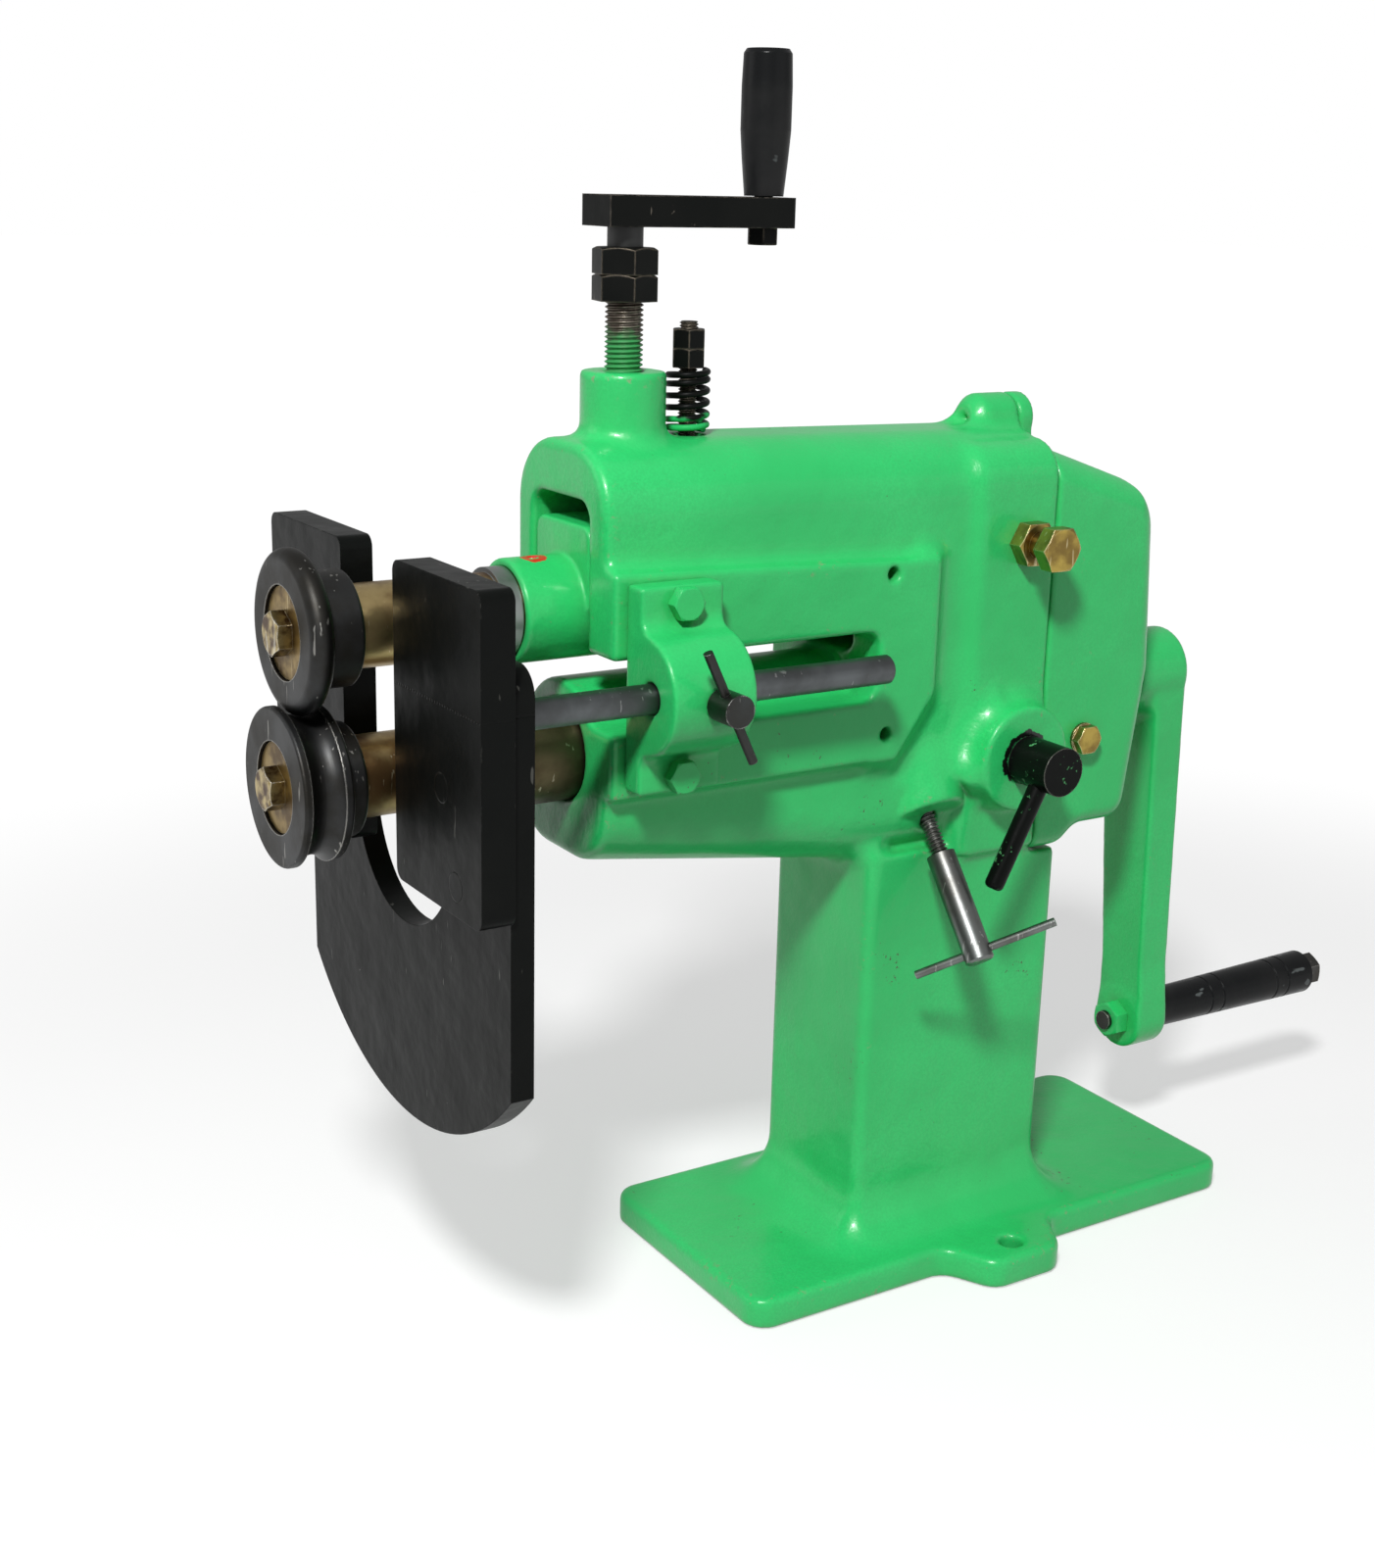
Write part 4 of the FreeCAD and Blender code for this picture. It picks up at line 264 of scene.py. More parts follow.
def makeHandFinish():
    # The height of a hand finished surface, in metres: slow waves and a fine grain.
    group, given, made = newGroup("handFinish", {"Wave Scale": 30.0, "Wave Depth": 0.0002,
                                                 "Grain Scale": 900.0, "Grain Depth": 0.00002}, ["Height"])
    place = objectPlace(group)
    waves = noise(group, place, given["Wave Scale"], 2.5, 0.45)
    grain = noise(group, place, given["Grain Scale"], 3.0, 0.55)
    slow = work(group, "MULTIPLY", waves, given["Wave Depth"])
    fine = work(group, "MULTIPLY", grain, given["Grain Depth"])
    group.links.new(work(group, "ADD", slow, fine), made["Height"])
    return group


def makeEdgeWear():
    # A mask of worn edges, broken up by noise.
    form = masks["edges"]
    group, given, made = newGroup("edgeWear", {"Radius": 0.002, "Amount": 0.5, "Break Scale": 220.0},
                                  ["Mask"])
    rounded = addNode(group, "ShaderNodeBevel", [("Radius", given["Radius"])], samples=4)
    facing = addNode(group, "ShaderNodeNewGeometry")
    match = addNode(group, "ShaderNodeVectorMath", [(0, rounded.outputs[0]), (1, facing.outputs["Normal"])],
                    operation="DOT_PRODUCT").outputs["Value"]
    bend = work(group, "MULTIPLY", work(group, "SUBTRACT", 1.0, match), form["bend"], clamp=True)
    broken = noise(group, objectPlace(group), given["Break Scale"], 4.0, 0.65)
    total = work(group, "ADD", work(group, "MULTIPLY", bend, given["Amount"]), broken)
    group.links.new(cutOff(group, total, form["level"], form["steep"]), made["Mask"])
    return group


def makeRoundedWear():
    # A mask of paint worn off rounded edges, found by how near the surface lies behind itself.
    form = masks["rounded"]
    group, given, made = newGroup("roundedWear", {"Reach": 0.006, "Amount": 0.5, "Break Scale": 300.0},
                                  ["Mask"])
    behind = addNode(group, "ShaderNodeAmbientOcclusion", [("Distance", given["Reach"])],
                     samples=6, inside=True)
    bent = work(group, "SUBTRACT", 1.0, behind.outputs["AO"])
    bend = work(group, "MULTIPLY", bent, form["bend"], clamp=True)
    place = objectPlace(group)
    broken = work(group, "MULTIPLY", noise(group, place, given["Break Scale"], 4.0, 0.65), form["fine"])
    patch = work(group, "MULTIPLY", noise(group, place, form["patchScale"]), form["patches"])
    reach = work(group, "MULTIPLY", bend, given["Amount"])
    total = work(group, "ADD", work(group, "ADD", broken, patch), reach)
    group.links.new(cutOff(group, total, form["level"], form["steep"]), made["Mask"])
    return group


def makeSpecks():
    # A mask of small chips that come in clusters.
    form = masks["specks"]
    group, given, made = newGroup("specks", {"Scale": 60.0, "Share": 0.1, "Cluster Scale": 9.0}, ["Mask"])
    place = objectPlace(group)
    fine = work(group, "MULTIPLY", noise(group, place, given["Scale"], 3.0, 0.6), form["fine"])
    broad = work(group, "MULTIPLY", noise(group, place, given["Cluster Scale"], 1.0), form["broad"])
    level = work(group, "SUBTRACT", form["level"], given["Share"])
    group.links.new(cutOff(group, work(group, "ADD", fine, broad), level, form["steep"]), made["Mask"])
    return group


def makeShadeAndGrime():
    # Slow changes of tone, and a corner mask that is painted shade mixed with dirt: it grows where nearby
    # parts hide the surface, broken into patches.
    group, given, made = newGroup("shadeAndGrime", {"Tone Scale": 14.0, "Corner Reach": 0.012}, ["Tone", "Corner"])
    place = objectPlace(group)
    group.links.new(noise(group, place, given["Tone Scale"], 4.0, 0.55), made["Tone"])
    shade = addNode(group, "ShaderNodeAmbientOcclusion", [("Distance", given["Corner Reach"])],
                    samples=4)
    # Painted shade: this mask is strongest where nearby surfaces hide a point, as shade falls there.
    hidden = work(group, "SUBTRACT", 1.0, shade.outputs["AO"])
    patchy = noise(group, place, masks["corners"]["patchScale"], 3.0, 0.6)
    shadeAndDirt = work(group, "MULTIPLY", hidden, patchy)
    group.links.new(work(group, "MULTIPLY", shadeAndDirt, masks["corners"]["gain"], clamp=True), made["Corner"])
    return group


def makeRingMask():
    # A mask of a ring about the Y axis through a point, of a radius and a width, with ragged edges.
    group, given, made = newGroup("raggedRing", {"Middle X": 0.0, "Middle Z": 0.0, "Radius": 0.01,
                                                 "Width": 0.002, "Ragged": 0.002, "Scale": 300.0}, ["Mask"])
    parts = placeParts(group)
    across = work(group, "SUBTRACT", parts["X"], given["Middle X"])
    along = work(group, "SUBTRACT", parts["Z"], given["Middle Z"])
    away = work(group, "SQRT", work(group, "ADD", work(group, "MULTIPLY", across, across),
                                    work(group, "MULTIPLY", along, along)), 0.0)
    shift = ragged(group, objectPlace(group), given["Scale"], given["Ragged"])
    off = work(group, "ABSOLUTE", work(group, "SUBTRACT", work(group, "ADD", away, shift),
                                       given["Radius"]), 0.0)
    inside = work(group, "SUBTRACT", 1.0, work(group, "DIVIDE", off, given["Width"]))
    group.links.new(work(group, "MULTIPLY", inside, masks["ring"]["steep"], clamp=True), made["Mask"])
    return group


def makeScratches():
    # A mask of fine scratches, long along the axis with the smallest number.
    form = masks["scratches"]
    group, given, made = newGroup("scratches", {"Along X": 300.0, "Along Y": 300.0, "Along Z": 30.0,
                                                "Share": 0.1}, ["Mask"])
    place = objectPlace(group)
    stretch = addNode(group, "ShaderNodeCombineXYZ", [(axis, given["Along " + axis]) for axis in "XYZ"])
    drawn = addNode(group, "ShaderNodeVectorMath", [(0, place), (1, stretch.outputs[0])],
                    operation="MULTIPLY")
    line = noise(group, drawn.outputs["Vector"], 1.0, 2.0, 0.5)
    about = work(group, "SUBTRACT", noise(group, place, form["patchScale"]), 0.5)
    patch = work(group, "MULTIPLY", about, form["patches"])
    level = work(group, "SUBTRACT", form["level"], given["Share"])
    group.links.new(cutOff(group, work(group, "ADD", line, patch), level, form["steep"]), made["Mask"])
    return group


handFinish = makeHandFinish()
edgeWear = makeEdgeWear()
roundedWear = makeRoundedWear()
specks = makeSpecks()
shadeAndGrime = makeShadeAndGrime()
scratches = makeScratches()
raggedRing = makeRingMask()
print("shader groups made")


def useGroup(tree, group, **values):
    node = tree.nodes.new("ShaderNodeGroup")
    node.node_tree = group
    for label, value in values.items():
        node.inputs[label.replace("_", " ")].default_value = value
    return node.outputs


def giveSurface(tree, shader, colour, height, rounding, shine, tone, gain):
    # Colour, roughness, and bump from a height in metres on edges softened by a rounding in metres.
    edge = addNode(tree, "ShaderNodeBevel", [("Radius", rounding)], samples=4)
    bump = addNode(tree, "ShaderNodeBump", [("Height", height), ("Distance", 1.0), ("Strength", 1.0),
                                            ("Normal", edge.outputs[0])])
    roughness = work(tree, "ADD", shine, work(tree, "MULTIPLY", tone, gain))
    for label, source in (("Base Color", colour), ("Normal", bump.outputs[0]), ("Roughness", roughness)):
        tree.links.new(source, shader.inputs[label])


# The dark brownish colour laid into corners is painted shade mixed with dirt.
enamel = {"paint": (0.026, 0.56, 0.145), "shade": (0.021, 0.47, 0.118), "shadeAndDirt": (0.085, 0.075, 0.035),
          "primer": (0.20, 0.32, 0.15), "chip": (0.05, 0.035, 0.02), "black": (0.0028, 0.0034, 0.0030),
          "dull": (0.0062, 0.0066, 0.0060), "red": (0.55, 0.02, 0.012), "splash": (0.09, 0.34, 0.13),
          "overspray": (0.03, 0.26, 0.07), "coils": (0.022, 0.42, 0.11)}
brushed = {"toneRange": (0.35, 0.70), "shadeAndDirtShare": 0.45, "mottleScale": 850.0, "mottleRange": (0.36, 0.64),
           "mottleShare": 0.55, "wearReach": 5.5, "layer": 0.00007, "shine": 0.24, "toneShine": 0.20,
           "wornShine": 0.3}


def greenEnamel(name, wear, chips, rounding, marks=None):
    # Brush painted green enamel over cast iron; marks lays further paint or bare spots over it.
    material, tree, shader = newMaterial(name, Coat_Weight=0.22, Coat_Roughness=0.10, Specular_IOR_Level=0.36)
    shadeAndDirt = useGroup(tree, shadeAndGrime, Tone_Scale=11.0, Corner_Reach=0.008)
    colour = over(tree, spread(tree, shadeAndDirt["Tone"], *brushed["toneRange"]), enamel["paint"], enamel["shade"])
    # Painted shade with dirt: the dark brownish colour is laid into corners and creases of the green paint.
    colour = over(tree, work(tree, "MULTIPLY", shadeAndDirt["Corner"], brushed["shadeAndDirtShare"]), colour, enamel["shadeAndDirt"])
    grain = noise(tree, objectPlace(tree), brushed["mottleScale"], 2.0, 0.6)
    mottle = spread(tree, grain, *brushed["mottleRange"], 0.0, brushed["mottleShare"])
    colour = over(tree, mottle, colour, enamel["shade"])
    edges = useGroup(tree, roundedWear, Reach=brushed["wearReach"] * rounding, Amount=wear,
                     Break_Scale=330.0)
    colour = over(tree, edges["Mask"], colour, enamel["primer"])
    spots = useGroup(tree, specks, Scale=380.0, Share=chips, Cluster_Scale=24.0)
    colour = over(tree, spots["Mask"], colour, enamel["chip"])
    if marks:
        colour = marks(tree, colour)
    surface = useGroup(tree, handFinish, Wave_Scale=40.0, Wave_Depth=0.0014, Grain_Scale=480.0,
                       Grain_Depth=0.00017)
    worn = work(tree, "MULTIPLY", work(tree, "ADD", edges["Mask"], spots["Mask"]), brushed["layer"])
    shine = work(tree, "ADD", brushed["shine"], work(tree, "MULTIPLY", shadeAndDirt["Tone"], brushed["toneShine"]))
    giveSurface(tree, shader, colour, work(tree, "SUBTRACT", surface["Height"], worn), rounding, shine,
                edges["Mask"], brushed["wornShine"])
    return material


crack = {"middleX": -0.0008, "middleZ": 0.2509, "radius": 0.0118, "width": 0.0016, "ragged": 0.005,
         "face": -0.0535, "fadeLow": 0.2455, "fadeHigh": 0.2515}


def frameMarks(tree, colour):
    # Black shows in a crescent round the eccentric's hub, where the green paint has cracked away.
    ring = useGroup(tree, raggedRing, Middle_X=crack["middleX"], Middle_Z=crack["middleZ"],
                    Radius=crack["radius"], Width=crack["width"], Ragged=crack["ragged"])
    parts = placeParts(tree)
    near = work(tree, "LESS_THAN", parts["Y"], crack["face"])
    slant = work(tree, "SUBTRACT", parts["Z"], parts["X"])
    upper = spread(tree, slant, crack["fadeLow"], crack["fadeHigh"])
    share = work(tree, "MULTIPLY", work(tree, "MULTIPLY", ring["Mask"], near), upper)
    return over(tree, share, colour, enamel["black"])


smear = {"middle": (-0.2290, -0.002, 0.3520), "ragged": 0.005, "inner": (0.0048, 0.0054),
         "outer": (0.0082, 0.0076)}


def noseMarks(tree, colour):
    # A smear of red paint in a ring on top of the nose.
    place = objectPlace(tree)
    moved = addNode(tree, "ShaderNodeVectorMath", [(0, place), (1, smear["middle"])],
                    operation="SUBTRACT").outputs["Vector"]
    away = lengthOf(tree, moved)
    rough = work(tree, "MULTIPLY", noise(tree, place, 260.0, 3.0, 0.6), smear["ragged"])
    reach = work(tree, "ADD", away, rough)
    share = work(tree, "MULTIPLY", spread(tree, reach, *smear["inner"]), spread(tree, reach, *smear["outer"]))
    return over(tree, share, colour, enamel["red"])


sprayed = {"toneRange": (0.42, 0.75), "dullShare": 0.6, "scratchShare": 0.7, "bareMetal": 0.6,
           "layer": 0.00004, "rounding": 0.0007, "toneShine": 0.22}


def blackEnamel(name, wear, bare, shine=0.30, flecks=0.0, waves=0.0004, marks=None):
    # Black paint over steel, worn to the bare colour; flecks is the share of green splashes.
    material, tree, shader = newMaterial(name, Specular_IOR_Level=0.08)
    shadeAndDirt = useGroup(tree, shadeAndGrime, Tone_Scale=22.0, Corner_Reach=0.005)
    dull = spread(tree, shadeAndDirt["Tone"], *sprayed["toneRange"], 0.0, sprayed["dullShare"])
    colour = over(tree, dull, enamel["black"], enamel["dull"])
    edges = useGroup(tree, edgeWear, Radius=0.0010, Amount=wear, Break_Scale=240.0)
    spots = useGroup(tree, specks, Scale=480.0, Share=0.03, Cluster_Scale=30.0)
    lines = useGroup(tree, scratches, Along_X=420.0, Along_Y=300.0, Along_Z=60.0, Share=0.045)
    worn = work(tree, "MAXIMUM", edges["Mask"], spots["Mask"])
    worn = work(tree, "MAXIMUM", worn, work(tree, "MULTIPLY", lines["Mask"], sprayed["scratchShare"]))
    colour = over(tree, worn, colour, bare)
    if flecks:
        splash = useGroup(tree, specks, Scale=420.0, Share=flecks, Cluster_Scale=60.0)
        colour = over(tree, splash["Mask"], colour, enamel["splash"])
    tree.links.new(work(tree, "MULTIPLY", worn, sprayed["bareMetal"]), shader.inputs["Metallic"])
    surface = useGroup(tree, handFinish, Wave_Scale=60.0, Wave_Depth=waves, Grain_Scale=900.0,
                       Grain_Depth=0.00003)
    height = work(tree, "SUBTRACT", surface["Height"], work(tree, "MULTIPLY", worn, sprayed["layer"]))
    if marks:
        height = marks(tree, height)
    giveSurface(tree, shader, colour, height, sprayed["rounding"], shine, shadeAndDirt["Tone"], sprayed["toneShine"])
    return material


punched = {"height": 0.3135, "halfStep": 0.0011, "rim": 0.0007, "middle": 0.0002, "depth": 0.00035}


def punchLine(tree, height):
    # A faint row of punch marks across the front of the face plates.
    parts = placeParts(tree)
    rows = work(tree, "ABSOLUTE", work(tree, "SUBTRACT", parts["Z"], punched["height"]), 0.0)
    beat = work(tree, "PINGPONG", parts["Y"], punched["halfStep"])
    away = work(tree, "SQRT", work(tree, "ADD", work(tree, "MULTIPLY", rows, rows),
                                   work(tree, "MULTIPLY", beat, beat)), 0.0)
    sunk = spread(tree, away, punched["rim"], punched["middle"], 0.0, punched["depth"])
    return work(tree, "SUBTRACT", height, sunk)


# The near-black colour laid into corners is painted shade mixed with soot.
turned = {"toneRange": (0.36, 0.64), "sootAndShade": (0.02, 0.017, 0.012), "scratchShare": 0.5,
          "latheDepth": 0.000022, "latheAlong": 9.0, "latheAcross": 1400.0, "rounding": 0.0005,
          "toneShine": 0.25}


def bareMetal(name, colour, stain, bright, shine=0.3, wear=0.35, stains=0.6, lathe=None, sootAndShade=0.7,
              tint=None, patches=38.0):
    # Turned or forged metal, with lathe marks along the named axis, and a near-black painted shade mixed with
    # oil and soot in its corners.
    material, tree, shader = newMaterial(name, Metallic=1.0)
    place = objectPlace(tree)
    shadeAndDirt = useGroup(tree, shadeAndGrime, Tone_Scale=patches, Corner_Reach=0.005)
    tone = over(tree, spread(tree, shadeAndDirt["Tone"], *turned["toneRange"], 0.0, stains), colour, stain)
    # Painted shade with soot: near black is laid into corners where nearby parts hide the surface.
    tone = over(tree, work(tree, "MULTIPLY", shadeAndDirt["Corner"], sootAndShade), tone, turned["sootAndShade"])
    edges = useGroup(tree, edgeWear, Radius=0.0009, Amount=wear, Break_Scale=300.0)
    lines = useGroup(tree, scratches, Along_X=500.0, Along_Y=500.0, Along_Z=60.0, Share=0.10)
    faint = work(tree, "MULTIPLY", lines["Mask"], turned["scratchShare"])
    shown = work(tree, "MAXIMUM", edges["Mask"], faint)
    tone = over(tree, shown, tone, bright)
    if tint:
        tone = tint(tree, shader, tone)
    surface = useGroup(tree, handFinish, Wave_Scale=120.0, Wave_Depth=0.00008, Grain_Scale=1300.0,
                       Grain_Depth=0.00002)
    height = surface["Height"]
    if lathe:
        fine = tuple(turned["latheAcross" if axis == lathe else "latheAlong"] for axis in "xyz")
        drawn = addNode(tree, "ShaderNodeVectorMath", [(0, place), (1, fine)], operation="MULTIPLY")
        marks = noise(tree, drawn.outputs["Vector"], 1.0, 2.0, 0.6)
        height = work(tree, "ADD", height, work(tree, "MULTIPLY", marks, turned["latheDepth"]))
    giveSurface(tree, shader, tone, height, turned["rounding"], shine, shadeAndDirt["Tone"], turned["toneShine"])
    return material


spray = {"ragged": 0.02, "low": (0.4460, 0.4370), "blackFrom": (0.4750, 0.4765)}


def greenOverspray(tree, shader, tone):
    # Green paint caught in the threads low on the screw, and black paint above its nuts.
    height = placeParts(tree)["Z"]
    rough = ragged(tree, objectPlace(tree), 120.0, spray["ragged"])
    share = spread(tree, work(tree, "ADD", height, rough), *spray["low"])
    dark = spread(tree, height, *spray["blackFrom"])
    coated = work(tree, "MAXIMUM", share, dark)
    tree.links.new(work(tree, "SUBTRACT", 1.0, coated), shader.inputs["Metallic"])
    return over(tree, dark, over(tree, share, tone, enamel["overspray"]), enamel["black"])


collar = {"front": (-0.2508, -0.2504), "rear": (-0.2410, -0.2414), "steel": (0.30, 0.31, 0.31)}


def collarSteel(tree, shader, tone):
    # The collar in front of the nose is bare grey steel, unlike the oiled length before it.
    along = placeParts(tree)["X"]
    share = work(tree, "MULTIPLY", spread(tree, along, *collar["front"]),
                 spread(tree, along, *collar["rear"]))
    return over(tree, share, tone, collar["steel"])


moulded = {"toneRange": (0.4, 0.75), "dustShare": 0.7, "worn": (0.09, 0.10, 0.10), "rounding": 0.0006,
           "toneShine": 0.25}


def moulding(name, colour, dusty, shine):
    # Moulded plastic with dust, scratches and dull edges.
    material, tree, shader = newMaterial(name, Specular_IOR_Level=0.13)
    shadeAndDirt = useGroup(tree, shadeAndGrime, Tone_Scale=30.0, Corner_Reach=0.004)
    dust = spread(tree, shadeAndDirt["Tone"], *moulded["toneRange"], 0.0, moulded["dustShare"])
    tone = over(tree, dust, colour, dusty)
    edges = useGroup(tree, edgeWear, Radius=0.0008, Amount=0.25, Break_Scale=400.0)
    lines = useGroup(tree, scratches, Along_X=90.0, Along_Y=260.0, Along_Z=120.0, Share=0.11)
    worn = work(tree, "MAXIMUM", edges["Mask"], lines["Mask"])
    tone = over(tree, worn, tone, moulded["worn"])
    surface = useGroup(tree, handFinish, Wave_Scale=70.0, Wave_Depth=0.0002, Grain_Scale=1100.0,
                       Grain_Depth=0.00002)
    giveSurface(tree, shader, tone, surface["Height"], moulded["rounding"], shine, shadeAndDirt["Tone"],
                moulded["toneShine"])
    return material


coilPaint = {"ragged": 0.016, "greenBelow": (0.4085, 0.4050)}


def springPaint(name):
    # Black paint on the coils, with green over the lowest ones.
    material = blackEnamel(name, 0.5, (0.10, 0.09, 0.07), flecks=0.03)
    tree = material.node_tree
    shader = tree.nodes["Principled BSDF"]
    before = shader.inputs["Base Color"].links[0].from_socket
    rough = ragged(tree, objectPlace(tree), 90.0, coilPaint["ragged"])
    share = spread(tree, work(tree, "ADD", placeParts(tree)["Z"], rough), *coilPaint["greenBelow"])
    tree.links.new(over(tree, share, before, enamel["coils"]), shader.inputs["Base Color"])
    return material


def dress(material, *names):
    # Gives the named nodes this material alone.
    for name in names:
        mesh = nodes[name].data
        mesh.materials.clear()
        mesh.materials.append(material)


dress(greenEnamel("castGreenEnamel", 0.175, 0.070, 0.0012, frameMarks), "frame_casting")
dress(greenEnamel("coverGreenEnamel", 0.12, 0.062, 0.0012), "gear_cover", "crank_arm", "gauge_bracket")
dress(greenEnamel("noseGreenEnamel", 0.11, 0.070, 0.0010, noseMarks), "upper_barrel")
dress(greenEnamel("fittingGreenEnamel", 0.10, 0.075, 0.0008), "bracket_bolts", "cover_bolts", "grip_nut")
dress(blackEnamel("plateBlackEnamel", 0.22, (0.10, 0.10, 0.09), shine=0.26, waves=0.0007,
                  marks=punchLine), "gauge_back_plate", "gauge_face_plates", "gauge_plate_screws")
dress(blackEnamel("armBlackEnamel", 0.42, (0.15, 0.13, 0.11), shine=0.26), "top_crank_arm")
dress(blackEnamel("nutBlackEnamel", 0.50, (0.20, 0.17, 0.13), shine=0.28), "top_grip_pin", "stop_nuts",
      "lift_nuts", "lift_stud")
dress(blackEnamel("leverBlackEnamel", 0.50, (0.17, 0.17, 0.15), shine=0.22, flecks=0.125),
      "eccentric_shaft", "eccentric_lever")
dress(springPaint("coilBlackEnamel"), "lift_spring")
dress(bareMetal("rollSteel", (0.045, 0.046, 0.047), (0.024, 0.022, 0.018), (0.46, 0.45, 0.42),
                shine=0.34, wear=0.72, stains=0.8, lathe="x"), "upper_roll", "lower_roll",
      "upper_roll_spacer", "lower_roll_spacer")
dress(bareMetal("oiledShaftSteel", (0.50, 0.38, 0.18), (0.14, 0.075, 0.03), (0.80, 0.72, 0.50),
                shine=0.24, wear=0.4, stains=0.95, lathe="x", tint=collarSteel), "upper_shaft",
      "lower_shaft")
dress(bareMetal("turnedSteel", (0.33, 0.32, 0.30), (0.13, 0.11, 0.09), (0.62, 0.60, 0.56), lathe="z"),
      "thrust_pad", "upper_gear", "lower_gear", "upper_gear_nut", "lower_gear_nut", "upper_roll_key",
      "lower_roll_key", "upper_gear_key", "lower_gear_key", "crank_key")
# The quill's steel is darkened partly as painted shade, for the plates' shadow that falls on it, and partly
# for its own dark oiled brown.
dress(bareMetal("quillSteelWithPaintedShade", (0.10, 0.082, 0.045), (0.035, 0.025, 0.013), (0.52, 0.46, 0.34),
                shine=0.30, stains=0.9, lathe="x"), "lower_quill")
dress(bareMetal("gaugeRodSteel", (0.125, 0.135, 0.140), (0.05, 0.05, 0.05), (0.42, 0.42, 0.42),
                shine=0.30, lathe="x"), "gauge_rod")
dress(bareMetal("clampSteel", (0.055, 0.060, 0.060), (0.035, 0.032, 0.028), (0.45, 0.45, 0.44),
                lathe="y"), "gauge_clamp_screw", "gauge_clamp_bar")
dress(bareMetal("quillClampSteel", (0.175, 0.185, 0.180), (0.07, 0.06, 0.05), (0.50, 0.50, 0.48),
                shine=0.26, lathe="z"), "quill_clamp_screw", "clamp_bar")
dress(bareMetal("screwSteel", (0.15, 0.13, 0.11), (0.07, 0.045, 0.03), (0.40, 0.36, 0.30), shine=0.34,
                wear=0.5, tint=greenOverspray), "pressing_screw")
dress(bareMetal("yellowZinc", (0.42, 0.31, 0.075), (0.17, 0.11, 0.035), (0.80, 0.70, 0.42), shine=0.24,
                wear=0.50, stains=0.85, patches=90.0), "pivot_screws", "pivot_locknuts", "oil_plug")
dress(bareMetal("washerZinc", (0.30, 0.21, 0.075), (0.10, 0.060, 0.022), (0.66, 0.56, 0.34), shine=0.30,
                wear=0.60, stains=0.95, lathe="x", patches=95.0), "upper_roll_washer",
      "lower_roll_washer")
dress(bareMetal("wornBoltZinc", (0.46, 0.36, 0.16), (0.07, 0.035, 0.012), (0.75, 0.72, 0.62), shine=0.22,
                wear=0.60, stains=1.0, patches=170.0), "upper_roll_bolt", "lower_roll_bolt")
dress(bareMetal("boredBronze", (0.52, 0.34, 0.14), (0.26, 0.15, 0.06), (0.75, 0.55, 0.28)),
      "barrel_bushes", "quill_bushes", "cover_bush")
dress(moulding("gripBlack", (0.006, 0.0065, 0.007), (0.018, 0.018, 0.018), 0.18), "crank_grip",
      "top_grip")
dress(bareMetal("gripBoltSteel", (0.07, 0.068, 0.065), (0.04, 0.036, 0.03), (0.40, 0.38, 0.35),
                shine=0.30, wear=0.5), "grip_bolt")
print("finishes given to", len(nodes), "nodes")

# The distance in metres under which corners are one, and the room round a form in grid steps.
grids = {"weld": 1e-6, "band": 4, "margin": 6}


def mergedTriangles(name):
    net = bmesh.new()
    net.from_mesh(nodes[name].data)
    bmesh.ops.remove_doubles(net, verts=net.verts, dist=grids["weld"])
    bmesh.ops.triangulate(net, faces=net.faces)
    points = np.array([corner.co for corner in net.verts], np.float32)
    triangles = np.array([[corner.index for corner in face.verts] for face in net.faces], np.uint32)
    net.free()
    return points, triangles


def distanceGrid(points, voxel, band, **faces):
    transform = openvdb.createLinearTransform(voxelSize=voxel)
    return openvdb.FloatGrid.createLevelSetFromPolygons(points, transform=transform, halfWidth=band, **faces)


def denseField(grid, low, size):
    field = np.empty(size, np.float32)
    grid.copyToArray(field, ijk=tuple(int(step) for step in low))
    return field


def blurred(field, passes):
    for turn in range(passes):
        for axis in range(3):
            field = 0.5 * field + 0.25 * (np.roll(field, 1, axis) + np.roll(field, -1, axis))
    return field


def closedField(grid, ball, voxel, low, size):
    # The same form with its inside corners filled up to where a ball of this radius rolls.
    points, quads = grid.convertToQuads(ball)
    offset = distanceGrid(points, voxel, ball / voxel + grids["band"], quads=quads)
    return denseField(offset, low, size) + ball


def fallOff(away, soft):
    fall = np.clip(1 - away / soft, 0, 1)
    return fall * fall * (3 - 2 * fall)


def boxMask(places, low, high, soft):
    # One inside a box, falling to nought over the soft distance outside it.
    mask = 1.0
    for axis, place in enumerate(places):
        mask = mask * fallOff(np.maximum(low[axis] - place, place - high[axis]), soft)
    return mask


def coneAway(places, start, end, startRadius, endRadius):
    # The distance to a tapered round form between two points.
    start, way = np.array(start), np.array(end) - np.array(start)
    length = float(np.linalg.norm(way))
    way = way / length
    along = sum((places[axis] - start[axis]) * way[axis] for axis in range(3))
    away = sum((places[axis] - start[axis]) ** 2 for axis in range(3)) - along ** 2
    radius = startRadius + (endRadius - startRadius) * along / length
    return np.maximum(np.sqrt(np.maximum(away, 0)) - radius, np.maximum(-along, along - length))


def roundedBar(places, bar):
    # The distance to a bar along the X axis, with its long edges rounded and a bore through it.
    half = [(end - start) / 2 for start, end in zip(bar["low"], bar["high"])]
    away = [np.abs(places[axis] - bar["low"][axis] - half[axis]) - half[axis] for axis in range(3)]
    across, upward = away[1] + bar["round"], away[2] + bar["round"]
    side = np.hypot(np.maximum(across, 0), np.maximum(upward, 0)) + np.minimum(np.maximum(across, upward), 0)
    bored = bar["bore"] - np.hypot(places[1], places[2] - bar["boreHeight"])
    return np.maximum(np.maximum(side - bar["round"], away[0]), bored).astype(np.float32)


